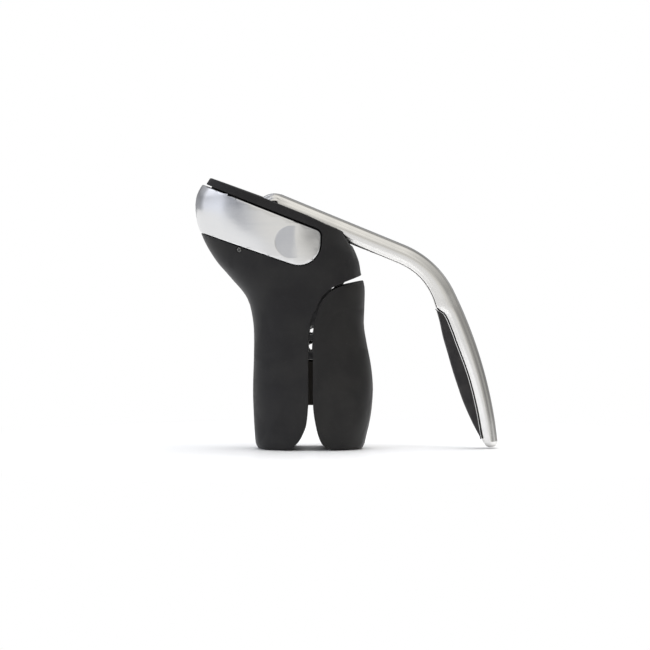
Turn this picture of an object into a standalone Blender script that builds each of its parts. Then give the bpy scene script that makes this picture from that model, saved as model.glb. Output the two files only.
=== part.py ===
"""Lever corkscrew: an upright case with a rear grip, a hinged front grip, a fold-over lever that
drives the worm down through a pair of gears and a crank, and a pull-off foil cutter round its nose.

Lengths are in millimetres and become metres where meshes are made. X runs from the nose to the
lever, Y across the two case halves, and Z up. The worm's axis is x = 0, y = 0 while the pieces are
made; the last step centres the whole object on the origin.
"""
import bpy
import bmesh
from math import acos, atan2, ceil, cos, degrees, pi, radians, sin, tan
from mathutils import Matrix, Vector

MM = 0.001

# ---------------------------------------------------------------- driving dimensions (mm, degrees)
CLEAR = 0.3                 # running gap between pieces that touch
SPLIT_GAP = 0.3             # gap between the two case halves
WALL = 2.6                  # case, jaw and core walls
LEG_FLOOR = 3.0             # thickness under the hollow of each grip

LEG_TOP = 104.0             # height of the waist, where the grips meet the head
REAR_REACH = 37.5           # rear grip's widest point behind the worm
FRONT_REACH = 41.3          # front grip's widest point ahead of the worm
NOSE_REACH = 74.7           # nose's furthest point behind the worm
SECTION_POWER = 2.5         # squareness of the horizontal sections
GRIP_GAP_REAR = 1.2         # rear edge of the gap between the grips
GRIP_GAP_FRONT = 2.0        # front edge of the same gap
GAP_TOP = 84.0              # where the gap runs into the round shoulder
TOP_TILT = 22.3             # slope of the head's top and of the folded lever

NECK_RADIUS = 16.0          # bottle neck space
LINER_THICK = 2.0
PAD_THICK = 2.5
LINER_BOTTOM = 29.0
SEAT_Z = 58.5               # height that the bottle's lip comes up to
SEAT_THICK = 4.7
LINER_HALF_ARC = 105.0      # liner wraps this far each way round the rear
PAD_HALF_ARC = 60.0

GEAR_MODULE = 1.1
PINION_TEETH = 14
CRANK_TEETH = 28
GEAR_WIDTH = 8.0
GEAR_BACKLASH = 0.25
MESH_ANGLE = 83.3           # direction from the crank's axle to the lever's axle
CRANK_BEHIND = 26.0         # crank axle behind the worm
CRANK_ABOVE_WAIST = 26.9
CRANK_RADIUS = 31.6         # crank pin from crank axle, and the links' length
CRANK_REST = 10.0           # crank's droop below level at rest
CRANK_SWING = 72.0

LEVER_SWING = CRANK_SWING * CRANK_TEETH / PINION_TEETH
LEVER_HALF_WIDTH = 7.2
LEVER_THICK = 12.9
LEVER_OFFSET = 6.8          # lever's middle line above its axle
LEVER_STRAIGHT = 86.9       # straight run of the outer edge, from above the axle
BEND_RADIUS = 61.7
BEND_TURN = 41.4
GRIP_RADIUS = 298.0         # slow curve of the hand grip
GRIP_TURN = 20.4
HUB_RADIUS = LEVER_OFFSET + LEVER_THICK / 2     # the lever's round end, about its axle
PAD_START = 0.06            # pad's upper end, as a share of the grip curve
PAD_END = 0.95
PAD_LEAST = 0.5             # pad's thickness where it runs out

AXLE_RADIUS = 2.5
CRANK_AXLE_RADIUS = 3.0
PIN_RADIUS = 2.0
PLATE_THICK = 2.5
ARM_HALF_WIDTH = 4.8
BRACKET_THICK = 2.6
FRAME_THICK = 1.6

WORM_RADIUS = 5.0           # outside of the worm
WORM_WIRE = 1.5             # wire radius of the worm
WORM_PITCH = 10.0
WORM_START = 70.0           # direction of the worm's tip about its axis
SHANK_RADIUS = 3.0
ROD_AHEAD = 10.5            # guide rods ahead of the worm
ROD_ASIDE = 4.5
ROD_RADIUS = 2.0
CARRIAGE_HEIGHT = 12.0
CARRIAGE_AHEAD = 4.0        # carriage ahead of its guide rods
CARRIAGE_ROOM = 0.9         # free space round the carriage as it travels

HINGE_AHEAD = 26.2          # jaw hinge ahead of the worm
HINGE_BELOW_WAIST = 18.2
SHOULDER_RADIUS = 21.5      # jaw's round shoulder about its hinge
SHOULDER_GAP = 1.6
JAW_SWING_ROOM = 1.3        # space over the jaw's neck wall, for its swing
HINGE_PIN_RADIUS = 2.0
EAR_Y = 7.0                 # inner face of the ears that carry the hinge pin

BAND_TILT = 20.2            # foil cutter's slope
CUTTER_SKIN = 3.2
CUTTER_PROUD = 0.4
CUTTER_ARM = 9.0            # thickness of a cutter arm over the core
CORE_NOSE = 6.5             # core's end inside the nose
CORE_MIDDLE = -30.0         # the core is straight ahead of here and rounds in behind it
WHEEL_RADIUS = 2.8
WHEEL_THICK = 1.0
WHEEL_PIN_RADIUS = 0.8
WHEEL_INSET = 20.7          # wheel centres from the middle plane
WHEEL_PLACES = (-22.0, -10.0)
DIMPLE_RADIUS = 10.5
DIMPLE_DEPTH = 1.7
DIMPLE_PLACE = -12.1

CASE_SCREW_RADIUS = 1.3
BOSS_RADIUS = 3.2
CROSS_PIN_RADIUS = 1.3

# ------------------------------------------------------------------------------- derived places
HINGE = (HINGE_AHEAD, LEG_TOP - HINGE_BELOW_WAIST)
CRANK_AXIS = (-CRANK_BEHIND, LEG_TOP + CRANK_ABOVE_WAIST)
PINION_PITCH = GEAR_MODULE * PINION_TEETH / 2
CRANK_PITCH = GEAR_MODULE * CRANK_TEETH / 2
LEVER_AXIS = (CRANK_AXIS[0] + (PINION_PITCH + CRANK_PITCH) * cos(radians(MESH_ANGLE)),
              CRANK_AXIS[1] + (PINION_PITCH + CRANK_PITCH) * sin(radians(MESH_ANGLE)))
CRANK_PIN = (CRANK_AXIS[0] + CRANK_RADIUS * cos(radians(CRANK_REST)),
             CRANK_AXIS[1] - CRANK_RADIUS * sin(radians(CRANK_REST)))
CARRIAGE_PIN = (CRANK_AXIS[0], CRANK_AXIS[1] - 2 * CRANK_RADIUS * sin(radians(CRANK_REST)))
CARRIAGE_BOTTOM = CARRIAGE_PIN[1] - 1.9
SEAT_TOP = SEAT_Z + SEAT_THICK

BRACKET_Y = GEAR_WIDTH / 2 + 0.6
CRANK_PLATE_Y = BRACKET_Y + BRACKET_THICK + CLEAR
LINK_Y = CRANK_PLATE_Y + PLATE_THICK + 0.5
FRAME_Y = LINK_Y + PLATE_THICK + 1.2
FRAME_OUT_Y = FRAME_Y + FRAME_THICK
CORE_HALF = FRAME_OUT_Y + 0.6 + WALL
HALF_DEPTH = CORE_HALF + CUTTER_ARM
CHANNEL_HALF = FRAME_OUT_Y + 0.5
CHANNEL_FRONT = ROD_AHEAD + CARRIAGE_AHEAD + CARRIAGE_ROOM
BORE_RADIUS = NECK_RADIUS + LINER_THICK + CLEAR
JAW_BORE_RADIUS = NECK_RADIUS + PAD_THICK + CLEAR
BORE_WALL = 2.2

COLOURS = {
    "charcoal": ((0.035, 0.036, 0.040, 1), 0.55, 0.0),
    "rubber": ((0.020, 0.020, 0.022, 1), 0.75, 0.0),
    "satin": ((0.62, 0.61, 0.59, 1), 0.32, 1.0),
    "steel": ((0.50, 0.50, 0.50, 1), 0.30, 1.0),
    "dark steel": ((0.16, 0.16, 0.17, 1), 0.45, 1.0),
    "nylon": ((0.05, 0.048, 0.045, 1), 0.6, 0.0),
    "acetal": ((0.70, 0.69, 0.66, 1), 0.45, 0.0),
}


# ------------------------------------------------------------------------------ scene and helpers
def clear_scene():
    for obj in list(bpy.data.objects):
        bpy.data.objects.remove(obj, do_unlink=True)


def make_material(name):
    colour, roughness, metallic = COLOURS[name]
    material = bpy.data.materials.new(name)
    material.use_nodes = True
    shader = material.node_tree.nodes["Principled BSDF"]
    shader.inputs["Base Color"].default_value = colour
    shader.inputs["Roughness"].default_value = roughness
    shader.inputs["Metallic"].default_value = metallic
    return material


def object_from(bm, name):
    """A mesh object from a bmesh in millimetres."""
    bmesh.ops.recalc_face_normals(bm, faces=bm.faces)
    bmesh.ops.scale(bm, vec=(MM, MM, MM), verts=bm.verts)
    mesh = bpy.data.meshes.new(name)
    bm.to_mesh(mesh)
    bm.free()
    obj = bpy.data.objects.new(name, mesh)
    PARTS.objects.link(obj)
    return obj


def box(name, x, y, z, tilt=0.0, about=(0, 0)):
    """A box between the given limits, turned down to the right by tilt degrees about a point in XZ."""
    bm = bmesh.new()
    bmesh.ops.create_cube(bm, size=1.0)
    bmesh.ops.scale(bm, vec=(x[1] - x[0], y[1] - y[0], z[1] - z[0]), verts=bm.verts)
    centre = ((x[0] + x[1]) / 2, (y[0] + y[1]) / 2, (z[0] + z[1]) / 2)
    bmesh.ops.translate(bm, vec=centre, verts=bm.verts)
    turn_about = Vector((about[0], 0, about[1]))
    bmesh.ops.rotate(bm, cent=turn_about, matrix=Matrix.Rotation(radians(tilt), 3, "Y"), verts=bm.verts)
    return object_from(bm, name)


def rod(name, start, end, radius, sides=16, end_radius=None):
    """A round bar between two points."""
    start, end = Vector(start), Vector(end)
    bm = bmesh.new()
    bmesh.ops.create_cone(bm, cap_ends=True, segments=sides, radius1=radius,
                          radius2=radius if end_radius is None else end_radius,
                          depth=(end - start).length)
    turn = Vector((0, 0, 1)).rotation_difference(end - start).to_matrix()
    bmesh.ops.rotate(bm, cent=(0, 0, 0), matrix=turn, verts=bm.verts)
    bmesh.ops.translate(bm, vec=(start + end) / 2, verts=bm.verts)
    return object_from(bm, name)


def cross_rod(name, place, y0, y1, radius, sides=16):
    """A round bar across the object, at a place in XZ."""
    return rod(name, (place[0], y0, place[1]), (place[0], y1, place[1]), radius, sides)


def evaluated_mesh(obj):
    bpy.context.view_layer.update()
    depsgraph = bpy.context.evaluated_depsgraph_get()
    return bpy.data.meshes.new_from_object(obj.evaluated_get(depsgraph), depsgraph=depsgraph)


def prism(name, outlines, y0, y1):
    """Flat outlines in XZ, the first outside and the others holes, thickened from y0 to y1."""
    curve = bpy.data.curves.new(name, "CURVE")
    curve.dimensions = "2D"
    curve.fill_mode = "BOTH"
    curve.extrude = abs(y1 - y0) / 2 * MM
    for outline in outlines:
        spline = curve.splines.new("POLY")
        spline.points.add(len(outline) - 1)
        spline.use_cyclic_u = True
        for point, (x, z) in zip(spline.points, outline):
            point.co = (x * MM, z * MM, 0, 1)
    source = bpy.data.objects.new(name, curve)
    PARTS.objects.link(source)
    mesh = evaluated_mesh(source)
    bpy.data.objects.remove(source)
    bpy.data.curves.remove(curve)
    mesh.name = name
    upright = Matrix.Translation((0, (y0 + y1) / 2 * MM, 0)) @ Matrix.Rotation(pi / 2, 4, "X")
    mesh.transform(upright)
    bm = bmesh.new()
    bm.from_mesh(mesh)
    bmesh.ops.remove_doubles(bm, verts=bm.verts, dist=1e-6)
    bmesh.ops.recalc_face_normals(bm, faces=bm.faces)
    bm.to_mesh(mesh)
    bm.free()
    obj = bpy.data.objects.new(name, mesh)
    PARTS.objects.link(obj)
    return obj


def wire(name, points, radius, shrink=None):
    """A round wire through points; shrink gives each point's share of the radius."""
    curve = bpy.data.curves.new(name, "CURVE")
    curve.dimensions = "3D"
    curve.bevel_depth = radius * MM
    curve.bevel_resolution = 2
    curve.use_fill_caps = True
    spline = curve.splines.new("POLY")
    spline.points.add(len(points) - 1)
    for index, point in enumerate(points):
        spline.points[index].co = (point[0] * MM, point[1] * MM, point[2] * MM, 1)
        spline.points[index].radius = shrink[index] if shrink else 1.0
    source = bpy.data.objects.new(name, curve)
    PARTS.objects.link(source)
    mesh = evaluated_mesh(source)
    bpy.data.objects.remove(source)
    mesh.name = name
    bm = bmesh.new()
    bm.from_mesh(mesh)
    bmesh.ops.remove_doubles(bm, verts=bm.verts, dist=1e-6)
    bmesh.ops.recalc_face_normals(bm, faces=bm.faces)
    bm.to_mesh(mesh)
    bm.free()
    obj = bpy.data.objects.new(name, mesh)
    PARTS.objects.link(obj)
    return obj


def combine(operation, target, tools, keep=False):
    """Boolean the tools into the target one after another.

    The lofted form's shallow facets defeat the exact solver, so they take the manifold one.
    """
    if any(obj.get("lofted") for obj in (target, *tools)):
        target["lofted"] = True
    for tool in tools:
        modifier = target.modifiers.new(operation.lower(), "BOOLEAN")
        modifier.operation = operation
        modifier.object = tool
        modifier.solver = "MANIFOLD" if target.get("lofted") else "EXACT"
    mesh = evaluated_mesh(target)
    target.modifiers.clear()
    old = target.data
    target.data = mesh
    mesh.name = target.name
    bpy.data.meshes.remove(old)
    if not keep:
        for tool in tools:
            bpy.data.objects.remove(tool)
    return target


def cut(target, *tools, keep=False):
    return combine("DIFFERENCE", target, tools, keep)


def join(target, *tools):
    return combine("UNION", target, tools)


def common(target, *tools, keep=False):
    return combine("INTERSECT", target, tools, keep)


def ring(name, place, y0, y1, radius, bore, sides=16):
    """A washer or bush across the object."""
    return cut(cross_rod(name, place, y0, y1, radius, sides),
               cross_rod("bore", place, y0 - 1, y1 + 1, bore, sides))


def sides_of(name):
    """The near and far copies of a mirrored piece: name and sign of Y."""
    return ((name + "_near", -1), (name + "_far", 1))


def mirrored(y_in, y_out, sign):
    """Limits in Y of a piece that lies between two distances from the middle plane."""
    return tuple(sorted((sign * y_in, sign * y_out)))


def arc(centre, radius, start, end, steps):
    """Points of an arc in XZ, angles in degrees from +X towards +Z."""
    return [(centre[0] + radius * cos(radians(start + (end - start) * i / steps)),
             centre[1] + radius * sin(radians(start + (end - start) * i / steps)))
            for i in range(steps + 1)]


def rounded(corners, steps=5):
    """An outline from (x, z, radius) corners."""
    points = []
    for index, (x, z, radius) in enumerate(corners):
        if radius == 0:
            points.append((x, z))
            continue
        here = Vector((x, z))
        before = (Vector(corners[index - 1][:2]) - here).normalized()
        after = (Vector(corners[(index + 1) % len(corners)][:2]) - here).normalized()
        half = acos(max(-1, min(1, before.dot(after)))) / 2
        centre = here + (before + after).normalized() * radius / sin(half)
        first = here + before * radius / tan(half) - centre
        last = here + after * radius / tan(half) - centre
        begin = atan2(first.y, first.x)
        turn = (atan2(last.y, last.x) - begin + pi) % (2 * pi) - pi
        points += [(centre.x + radius * cos(begin + turn * i / steps),
                    centre.y + radius * sin(begin + turn * i / steps)) for i in range(steps + 1)]
    return points


def smooth(points, at):
    """Value at a place on the smooth curve through (place, value) points."""
    if at <= points[0][0]:
        return points[0][1]
    if at >= points[-1][0]:
        return points[-1][1]
    index = max(i for i in range(len(points) - 1) if points[i][0] <= at)

    def slope(i):
        low, high = max(i - 1, 0), min(i + 1, len(points) - 1)
        return (points[high][1] - points[low][1]) / (points[high][0] - points[low][0])

    (x0, y0), (x1, y1) = points[index], points[index + 1]
    span = x1 - x0
    t = (at - x0) / span
    return ((2 * t ** 3 - 3 * t ** 2 + 1) * y0 + (t ** 3 - 2 * t ** 2 + t) * span * slope(index)
            + (3 * t ** 2 - 2 * t ** 3) * y1 + (t ** 3 - t ** 2) * span * slope(index + 1))


# ----------------------------------------------------------------------------------- outer form
def rear_edge(z):
    """Distance of the rear and nose outline behind the worm, at a height."""
    legs = [(0.0, 3.5), (0.025, 2.1), (0.05, 1.5), (0.19, 0.6), (0.36, 0.0), (0.58, 0.6), (0.72, 0.7),
            (0.80, 0.1), (0.90, -1.9), (0.96, -4.6)]
    head = [(1, 28.7), (6, 24.2), (11, 19.9), (16, 15.4), (21, 11.7), (31, 5.8), (42, 1.7), (53, 0.0),
            (60, 0.5), (64, 1.9), (68, 4.2), (74, 9.0)]
    points = [(LEG_TOP * share, REAR_REACH - inset) for share, inset in legs]
    points += [(LEG_TOP + rise, NOSE_REACH - inset) for rise, inset in head]
    return smooth(points, z)


def front_edge(z):
    """Distance of the front outline ahead of the worm, at a height."""
    legs = [(0.0, 7.3), (0.02, 5.9), (0.09, 4.0), (0.15, 2.5), (0.25, 0.8), (0.385, 0.0), (0.52, 1.3),
            (0.66, 4.1), (0.77, 5.9), (0.87, 5.7), (1.0, 5.4)]
    head = [(5.3, 6.3), (10.3, 7.9), (18.6, 9.4), (28.6, 13.6), (37.0, 18.7), (74.0, 19.5)]
    points = [(LEG_TOP * share, FRONT_REACH - inset) for share, inset in legs]
    points += [(LEG_TOP + rise, FRONT_REACH - inset) for rise, inset in head]
    return smooth(points, z)


def side_edge(z):
    """Half the depth of the form, at a height."""
    insets = [(0.0, 2.4), (2.6, 1.0), (6.0, 0.3), (20.0, 0.0), (LEG_TOP * 0.6, 0.0), (LEG_TOP, 0.9),
              (LEG_TOP + 22, 0.0), (LEG_TOP + 74, 0.8)]
    return HALF_DEPTH - smooth(insets, z)


def form(name, inset=0.0, sides=32):
    """The closed outer form of case and jaw together, drawn in by an inset."""
    levels = [0, 1.2, 3, 6, 14]
    levels += [LEG_TOP * share for share in (0.24, 0.36, 0.48, 0.60, 0.72, 0.82, 0.90)]
    levels += [LEG_TOP + rise for rise in (-3, 4, 11, 19, 28, 37, 45, 53, 61, 68, 74)]
    bm = bmesh.new()
    rings = []
    for z in levels:
        back, front = -rear_edge(z) + inset, front_edge(z) - inset
        middle, reach, depth = (back + front) / 2, (front - back) / 2, side_edge(z) - inset
        loop = []
        for i in range(sides):
            c, s = cos(2 * pi * i / sides), sin(2 * pi * i / sides)
            power = 2 / SECTION_POWER
            x = middle + reach * abs(c) ** power * (1 if c >= 0 else -1)
            y = depth * abs(s) ** power * (1 if s >= 0 else -1)
            loop.append(bm.verts.new((x, y, z)))
        rings.append(loop)
    for low, high in zip(rings, rings[1:]):
        for i in range(sides):
            j = (i + 1) % sides
            bm.faces.new((low[i], low[j], high[j], high[i]))
    bm.faces.new(rings[0])
    bm.faces.new(rings[-1])
    lofted = object_from(bm, name)
    lofted["lofted"] = True
    return lofted


def top_edge(inset=0.0):
    """The head's top outline from front to nose, lowered by an inset."""
    drop = inset / cos(radians(TOP_TILT))
    points = [(FRONT_REACH - 18.7, 37.0), (-1.6, 48.7), (-31.8, 60.8), (-65.1 + inset, 73.0)]
    return [(x, LEG_TOP + rise - drop) for x, rise in points]


def case_outline(inset=0.0):
    """Side outline of the case: rear grip and head."""
    shoulder = arc(HINGE, SHOULDER_RADIUS + SHOULDER_GAP + inset, 165, 101, 12)
    bottom = LEG_FLOOR if inset else -1.0
    outline = [(-NOSE_REACH - 15, bottom), (-13.5 - inset, bottom), (-13.0 - inset, max(0.2, bottom)),
               (-9.3 - inset, 3.3), (-6.3 - inset, 7.2), (-4.0 - inset, 11.8), (-2.3 - inset, 17.0),
               (-GRIP_GAP_REAR - inset, LINER_BOTTOM), (-GRIP_GAP_REAR - inset, GAP_TOP - 24),
               (-GRIP_GAP_REAR - inset, GAP_TOP - 13.7),
               (-0.6 - inset, GAP_TOP - 4.5), (0.4 - inset, GAP_TOP + 0.5), (1.7 - inset, GAP_TOP + 4.5)]
    outline += shoulder
    outline += [(HINGE[0] - 3.6, HINGE[1] + 23.5 + inset), (HINGE[0] + 22, HINGE[1] + 32.9 + inset)]
    outline += [(HINGE[0] + 22, LEG_TOP + 37.0 - inset)]
    outline += top_edge(inset)
    outline += [(-67.8 + inset, LEG_TOP + 68.6 - inset), (-70.0 + inset, LEG_TOP + 50.0),
                (-NOSE_REACH - 15, LEG_TOP + 50.0)]
    return outline


def jaw_outline(inset=0.0):
    """Side outline of the jaw, the front grip."""
    bottom = LEG_FLOOR if inset else -1.0
    outline = [(14.2 + inset, bottom), (13.8 + inset, max(0.2, bottom)), (7.4 + inset, 4.8),
               (5.1 + inset, 10.4), (3.2 + inset, 21.4), (GRIP_GAP_FRONT + inset, LINER_BOTTOM + 1),
               (GRIP_GAP_FRONT + inset, GAP_TOP - 18), (GRIP_GAP_FRONT + 0.5 + inset, GAP_TOP - 5),
               (GRIP_GAP_FRONT + 1.3 + inset, GAP_TOP + 0.5)]
    outline += arc(HINGE, SHOULDER_RADIUS - inset, 170, 101, 12)
    outline += [(HINGE[0] + 22, HINGE[1] + 27.3 - inset), (HINGE[0] + 22, bottom)]
    return outline


def band_outline(grow=0.0):
    """Side outline of the foil cutter, running on past the nose."""
    far = NOSE_REACH + 14
    low_rise, high_rise = tan(radians(18.9)), tan(radians(21.5))
    high = (7.0 + grow, LEG_TOP + 38.2 + grow)
    low = (6.3 + grow, LEG_TOP + 11.1 - grow)
    return rounded([(-far, high[1] + (far + high[0]) * high_rise, 0), (high[0], high[1], 4.5 + grow),
                    (low[0], low[1], 14.0 + grow), (-far, low[1] + (far + low[0]) * low_rise, 0)], 7)


def core(name, shrink=0.0):
    """The head's inner block that the foil cutter slides over."""
    sides, heights = (-CORE_HALF + shrink, CORE_HALF - shrink), (LEG_TOP - 20, LEG_TOP + 90)
    nose = common(form(name, CORE_NOSE + shrink),
                  box("nose", (-NOSE_REACH - 20, CORE_MIDDLE + 1), sides, heights))
    return join(nose, box("block", (CORE_MIDDLE, 60), sides, heights))


def neck_cylinder(name, radius, top):
    return rod(name, (0, 0, -5), (0, 0, top), radius, 40)


def band_place(x):
    """Point on the foil cutter's middle line."""
    return (x, LEG_TOP + 31.6 - (x + 12) * tan(radians(BAND_TILT)))


# --------------------------------------------------------------------------------- case and frame
SCREW_PLACES = ((-28.0, 16.0), (-28.0, 47.0), (-49.5, LEG_TOP + 43.0), (24.0, LEG_TOP + 18.0))
CASE_NOSE_SCREW = -45.0     # a screw behind here goes into the core, under the foil cutter
CROSS_PIN_PLACE = (-46.0, LEG_TOP + 26.3)


def case_cavity():
    """The case's hollow: inside the walls, behind the neck's wall and within the core."""
    hollow = common(form("cavity", WALL), prism("inside", [case_outline(WALL)], -60, 60))
    around_band = cut(prism("around_band", [band_outline(WALL + CLEAR)], -60, 60),
                      core("core_hollow", WALL))
    return cut(hollow, around_band, neck_cylinder("neck_wall", BORE_RADIUS + BORE_WALL, SEAT_Z - CLEAR))


def lever_slot():
    """The slot in the head's top that the lever folds into and swings through."""
    half = LEVER_HALF_WIDTH + 1.2
    drop = tan(radians(TOP_TILT))
    heel = (LEVER_AXIS[0] - 11.5, LEVER_AXIS[1] - 9.0)
    under = LEVER_AXIS[1] + (LEVER_OFFSET - LEVER_THICK / 2 - 0.8) / cos(radians(TOP_TILT))
    swing = radians(LEVER_SWING - TOP_TILT)
    end = (heel[0] + 40 * cos(swing), heel[1] + 40 * sin(swing))
    outline = [heel, (heel[0] + 24, heel[1]), (heel[0] + 30, under - 18.5 * drop),
               (60.0, under - (60 - LEVER_AXIS[0]) * drop), (60.0, LEG_TOP + 90), (end[0] - 3, LEG_TOP + 90),
               (end[0] - 3, end[1])]
    return prism("lever_slot", [outline], -half, half)


def make_case():
    """The two case halves, split on the middle plane."""
    whole = common(form("case"), prism("side", [case_outline()], -60, 60))
    cut(whole, case_cavity())
    cut(whole, cut(prism("band_pocket", [band_outline(CLEAR)], -60, 60), core("core")))
    channel_top = HINGE[1] + SHOULDER_RADIUS + SHOULDER_GAP + 4
    channel = box("channel", (-REAR_REACH + 7, CHANNEL_FRONT), (-CHANNEL_HALF, CHANNEL_HALF),
                  (SEAT_Z - CLEAR, channel_top))
    cut(whole, neck_cylinder("neck", BORE_RADIUS, SEAT_Z), channel, lever_slot())
    rib = (arc(HINGE, SHOULDER_RADIUS + 0.45, 101, 118.5, 8)
           + arc(HINGE, SHOULDER_RADIUS + SHOULDER_GAP + 1.2, 115.5, 101, 8))
    join(whole, prism("gap_rib", [rib], -6, 6))
    for place in SCREW_PLACES:
        reach = CORE_HALF if place[0] < CASE_NOSE_SCREW else side_edge(place[1]) - 1.0
        boss = cross_rod("boss", place, -reach + 0.5, reach - 0.5, BOSS_RADIUS, 16)
        limits = form("limits", CORE_NOSE + 0.4 if place[0] < CASE_NOSE_SCREW else 0.4)
        join(whole, common(boss, limits))
        head_at = screw_head(place)
        cut(whole, cross_rod("hole", place, -head_at + 4.0, head_at + 0.1, CASE_SCREW_RADIUS + CLEAR, 14),
            cross_rod("counterbore", place, head_at, HALF_DEPTH + 5, CASE_SCREW_RADIUS * 2 + CLEAR, 16))
    cut(whole, cross_rod("pin_hole", CROSS_PIN_PLACE, -60, 60, CROSS_PIN_RADIUS + CLEAR, 16))
    for wheel_sign in (-1, 1):
        groove_y = mirrored(WHEEL_INSET - WHEEL_RADIUS - CLEAR - 0.1, CORE_HALF + 1, wheel_sign)
        x, z = band_place(0)
        half = WHEEL_THICK / 2 + 0.5
        cut(whole, box("groove", (-NOSE_REACH - 10, 2.0), groove_y, (z - half, z + half), BAND_TILT, (x, z)))
    for name, sign in sides_of("casing"):
        half = box("half", (-120, 120), mirrored(SPLIT_GAP / 2, 60, sign), (-5, LEG_TOP + 100))
        piece = common(copy_of(whole, name), half)
        finish(piece, "charcoal", "casing")
    bpy.data.objects.remove(whole)


def screw_head(place):
    """Distance from the middle plane at which a case screw's head rests, on the far side."""
    if place[0] < CASE_NOSE_SCREW:
        return CORE_HALF - 3.6
    back, front = -rear_edge(place[1]), front_edge(place[1])
    share = abs(place[0] - (back + front) / 2) / ((front - back) / 2)
    return side_edge(place[1]) * (1 - share ** SECTION_POWER) ** (1 / SECTION_POWER) - 4.5


def make_case_fasteners():
    for index, place in enumerate(SCREW_PLACES, 1):
        seat = screw_head(place)
        screw = cross_rod("case_screw_%d" % index, place, -seat + 4.5, seat + CLEAR + 0.3,
                          CASE_SCREW_RADIUS, 12)
        head = cross_rod("head", place, seat + CLEAR, seat + 2.2, CASE_SCREW_RADIUS * 2, 16)
        socket = rod("socket", (place[0], seat + 1.0, place[1]), (place[0], seat + 4, place[1]), 1.1, 6)
        finish(cut(join(screw, head), socket), "steel", "casing")
    reach = side_edge(CROSS_PIN_PLACE[1]) - 2.1
    finish(cross_rod("cross_pin", CROSS_PIN_PLACE, -reach, reach, CROSS_PIN_RADIUS, 16), "steel", "casing")


def frame_outline():
    """Side outline of a frame plate: gear end, web down to the seat, and a tongue towards the jaw hinge."""
    tongue = [(13.0, HINGE[1] - 18), (20.0, HINGE[1] - 14), (20.0, HINGE[1] + 4), (12.5, HINGE[1] + 11)]
    rise = [(x, LEG_TOP + z) for x, z in ((14.2, -5.5), (14.2, 8), (12.5, 12), (12.5, 31.0), (10.0, 40.2),
                                          (-36.0, 59.0), (-44.0, 52.0), (-44.0, 24.0), (-37.0, 8.0),
                                          (-28.0, 0.0))]
    return [(-28.0, SEAT_Z), (13.0, SEAT_Z), *tongue, *rise]


def circle(place, radius, steps=20):
    return arc(place, radius, 0, 360 - 360 / steps, steps - 1)


def worm_windows():
    """Two slots in each frame plate, one over the other, that show the worm through the grips' gap."""
    upper = [(-0.3, GAP_TOP - 9.0, 0.7), (1.7, GAP_TOP - 9.0, 0.7), (2.4, GAP_TOP - 3.4, 0.7),
             (0.6, GAP_TOP - 3.4, 0.7)]
    lower = [(-0.9, GAP_TOP - 20.2, 0.7), (1.2, GAP_TOP - 20.2, 0.7), (1.5, GAP_TOP - 13.0, 0.7),
             (-0.5, GAP_TOP - 13.0, 0.7)]
    return [rounded(upper, 3), rounded(lower, 3)]


def make_frame():
    for name, sign in sides_of("frame_plate"):
        holes = [circle(LEVER_AXIS, AXLE_RADIUS + CLEAR), circle(CRANK_AXIS, CRANK_AXLE_RADIUS + CLEAR)]
        outlines = [frame_outline()] + holes + worm_windows()
        plate = prism(name, outlines, *mirrored(FRAME_Y, FRAME_OUT_Y, sign))
        finish(plate, "dark steel", "casing")
    inner = FRAME_Y - CLEAR
    finish(cross_rod("frame_spacer", (-41.0, LEG_TOP + 42.0), -inner, inner, 2.6, 16), "steel", "casing")

    seat = box("nut_block", (-12, 15), (-inner, inner), (SEAT_Z, SEAT_TOP))
    rods = [rod("hole", (ROD_AHEAD, s * ROD_ASIDE, SEAT_Z - 1), (ROD_AHEAD, s * ROD_ASIDE, SEAT_TOP + 1),
                ROD_RADIUS + CLEAR, 16) for s in (-1, 1)]
    nut_radius = WORM_RADIUS + 0.4 + 1.8
    cut(seat, rod("bore", (0, 0, SEAT_Z - 1), (0, 0, SEAT_TOP + 1), nut_radius + CLEAR, 24), *rods)
    finish(seat, "nylon", "casing")
    nut = rod("worm_nut", (0, 0, SEAT_Z), (0, 0, SEAT_TOP), nut_radius, 24)
    nut_bore = rod("bore", (0, 0, SEAT_Z - 1), (0, 0, SEAT_TOP + 1), WORM_RADIUS + 0.4, 24)
    finish(cut(nut, nut_bore), "acetal", "casing")

    bridge_low, bridge_high = LEG_TOP + 28.6, LEG_TOP + 33.2
    bridge = box("guide_bridge", (6.0, 15.0), (-inner, inner), (bridge_low, bridge_high))
    rods = [rod("hole", (ROD_AHEAD, s * ROD_ASIDE, bridge_low - 1),
                (ROD_AHEAD, s * ROD_ASIDE, bridge_high + 1), ROD_RADIUS + CLEAR, 16) for s in (-1, 1)]
    finish(cut(bridge, *rods), "steel", "casing")
    for name, sign in sides_of("guide_rod"):
        place = (ROD_AHEAD, sign * ROD_ASIDE)
        made = rod(name, (*place, SEAT_Z + 0.2), (*place, bridge_high - 0.2), ROD_RADIUS, 16)
        finish(made, "steel", "casing")

    outer = FRAME_OUT_Y
    finish(cross_rod("lever_axle", LEVER_AXIS, -outer, outer, AXLE_RADIUS), "steel", "casing")
    finish(cross_rod("crank_axle", CRANK_AXIS, -outer, outer, CRANK_AXLE_RADIUS), "steel", "casing")
    for name, sign in sides_of("lever_bush"):
        limits = mirrored(LEVER_HALF_WIDTH + CLEAR, FRAME_Y - CLEAR, sign)
        finish(ring(name, LEVER_AXIS, *limits, AXLE_RADIUS + 1.5, AXLE_RADIUS + CLEAR), "acetal", "casing")
    for name, sign in sides_of("crank_washer"):
        limits = mirrored(CRANK_PLATE_Y + PLATE_THICK + CLEAR, FRAME_Y - CLEAR, sign)
        washer = ring(name, CRANK_AXIS, *limits, CRANK_AXLE_RADIUS + 1.6, CRANK_AXLE_RADIUS + CLEAR)
        finish(washer, "acetal", "casing")


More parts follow.
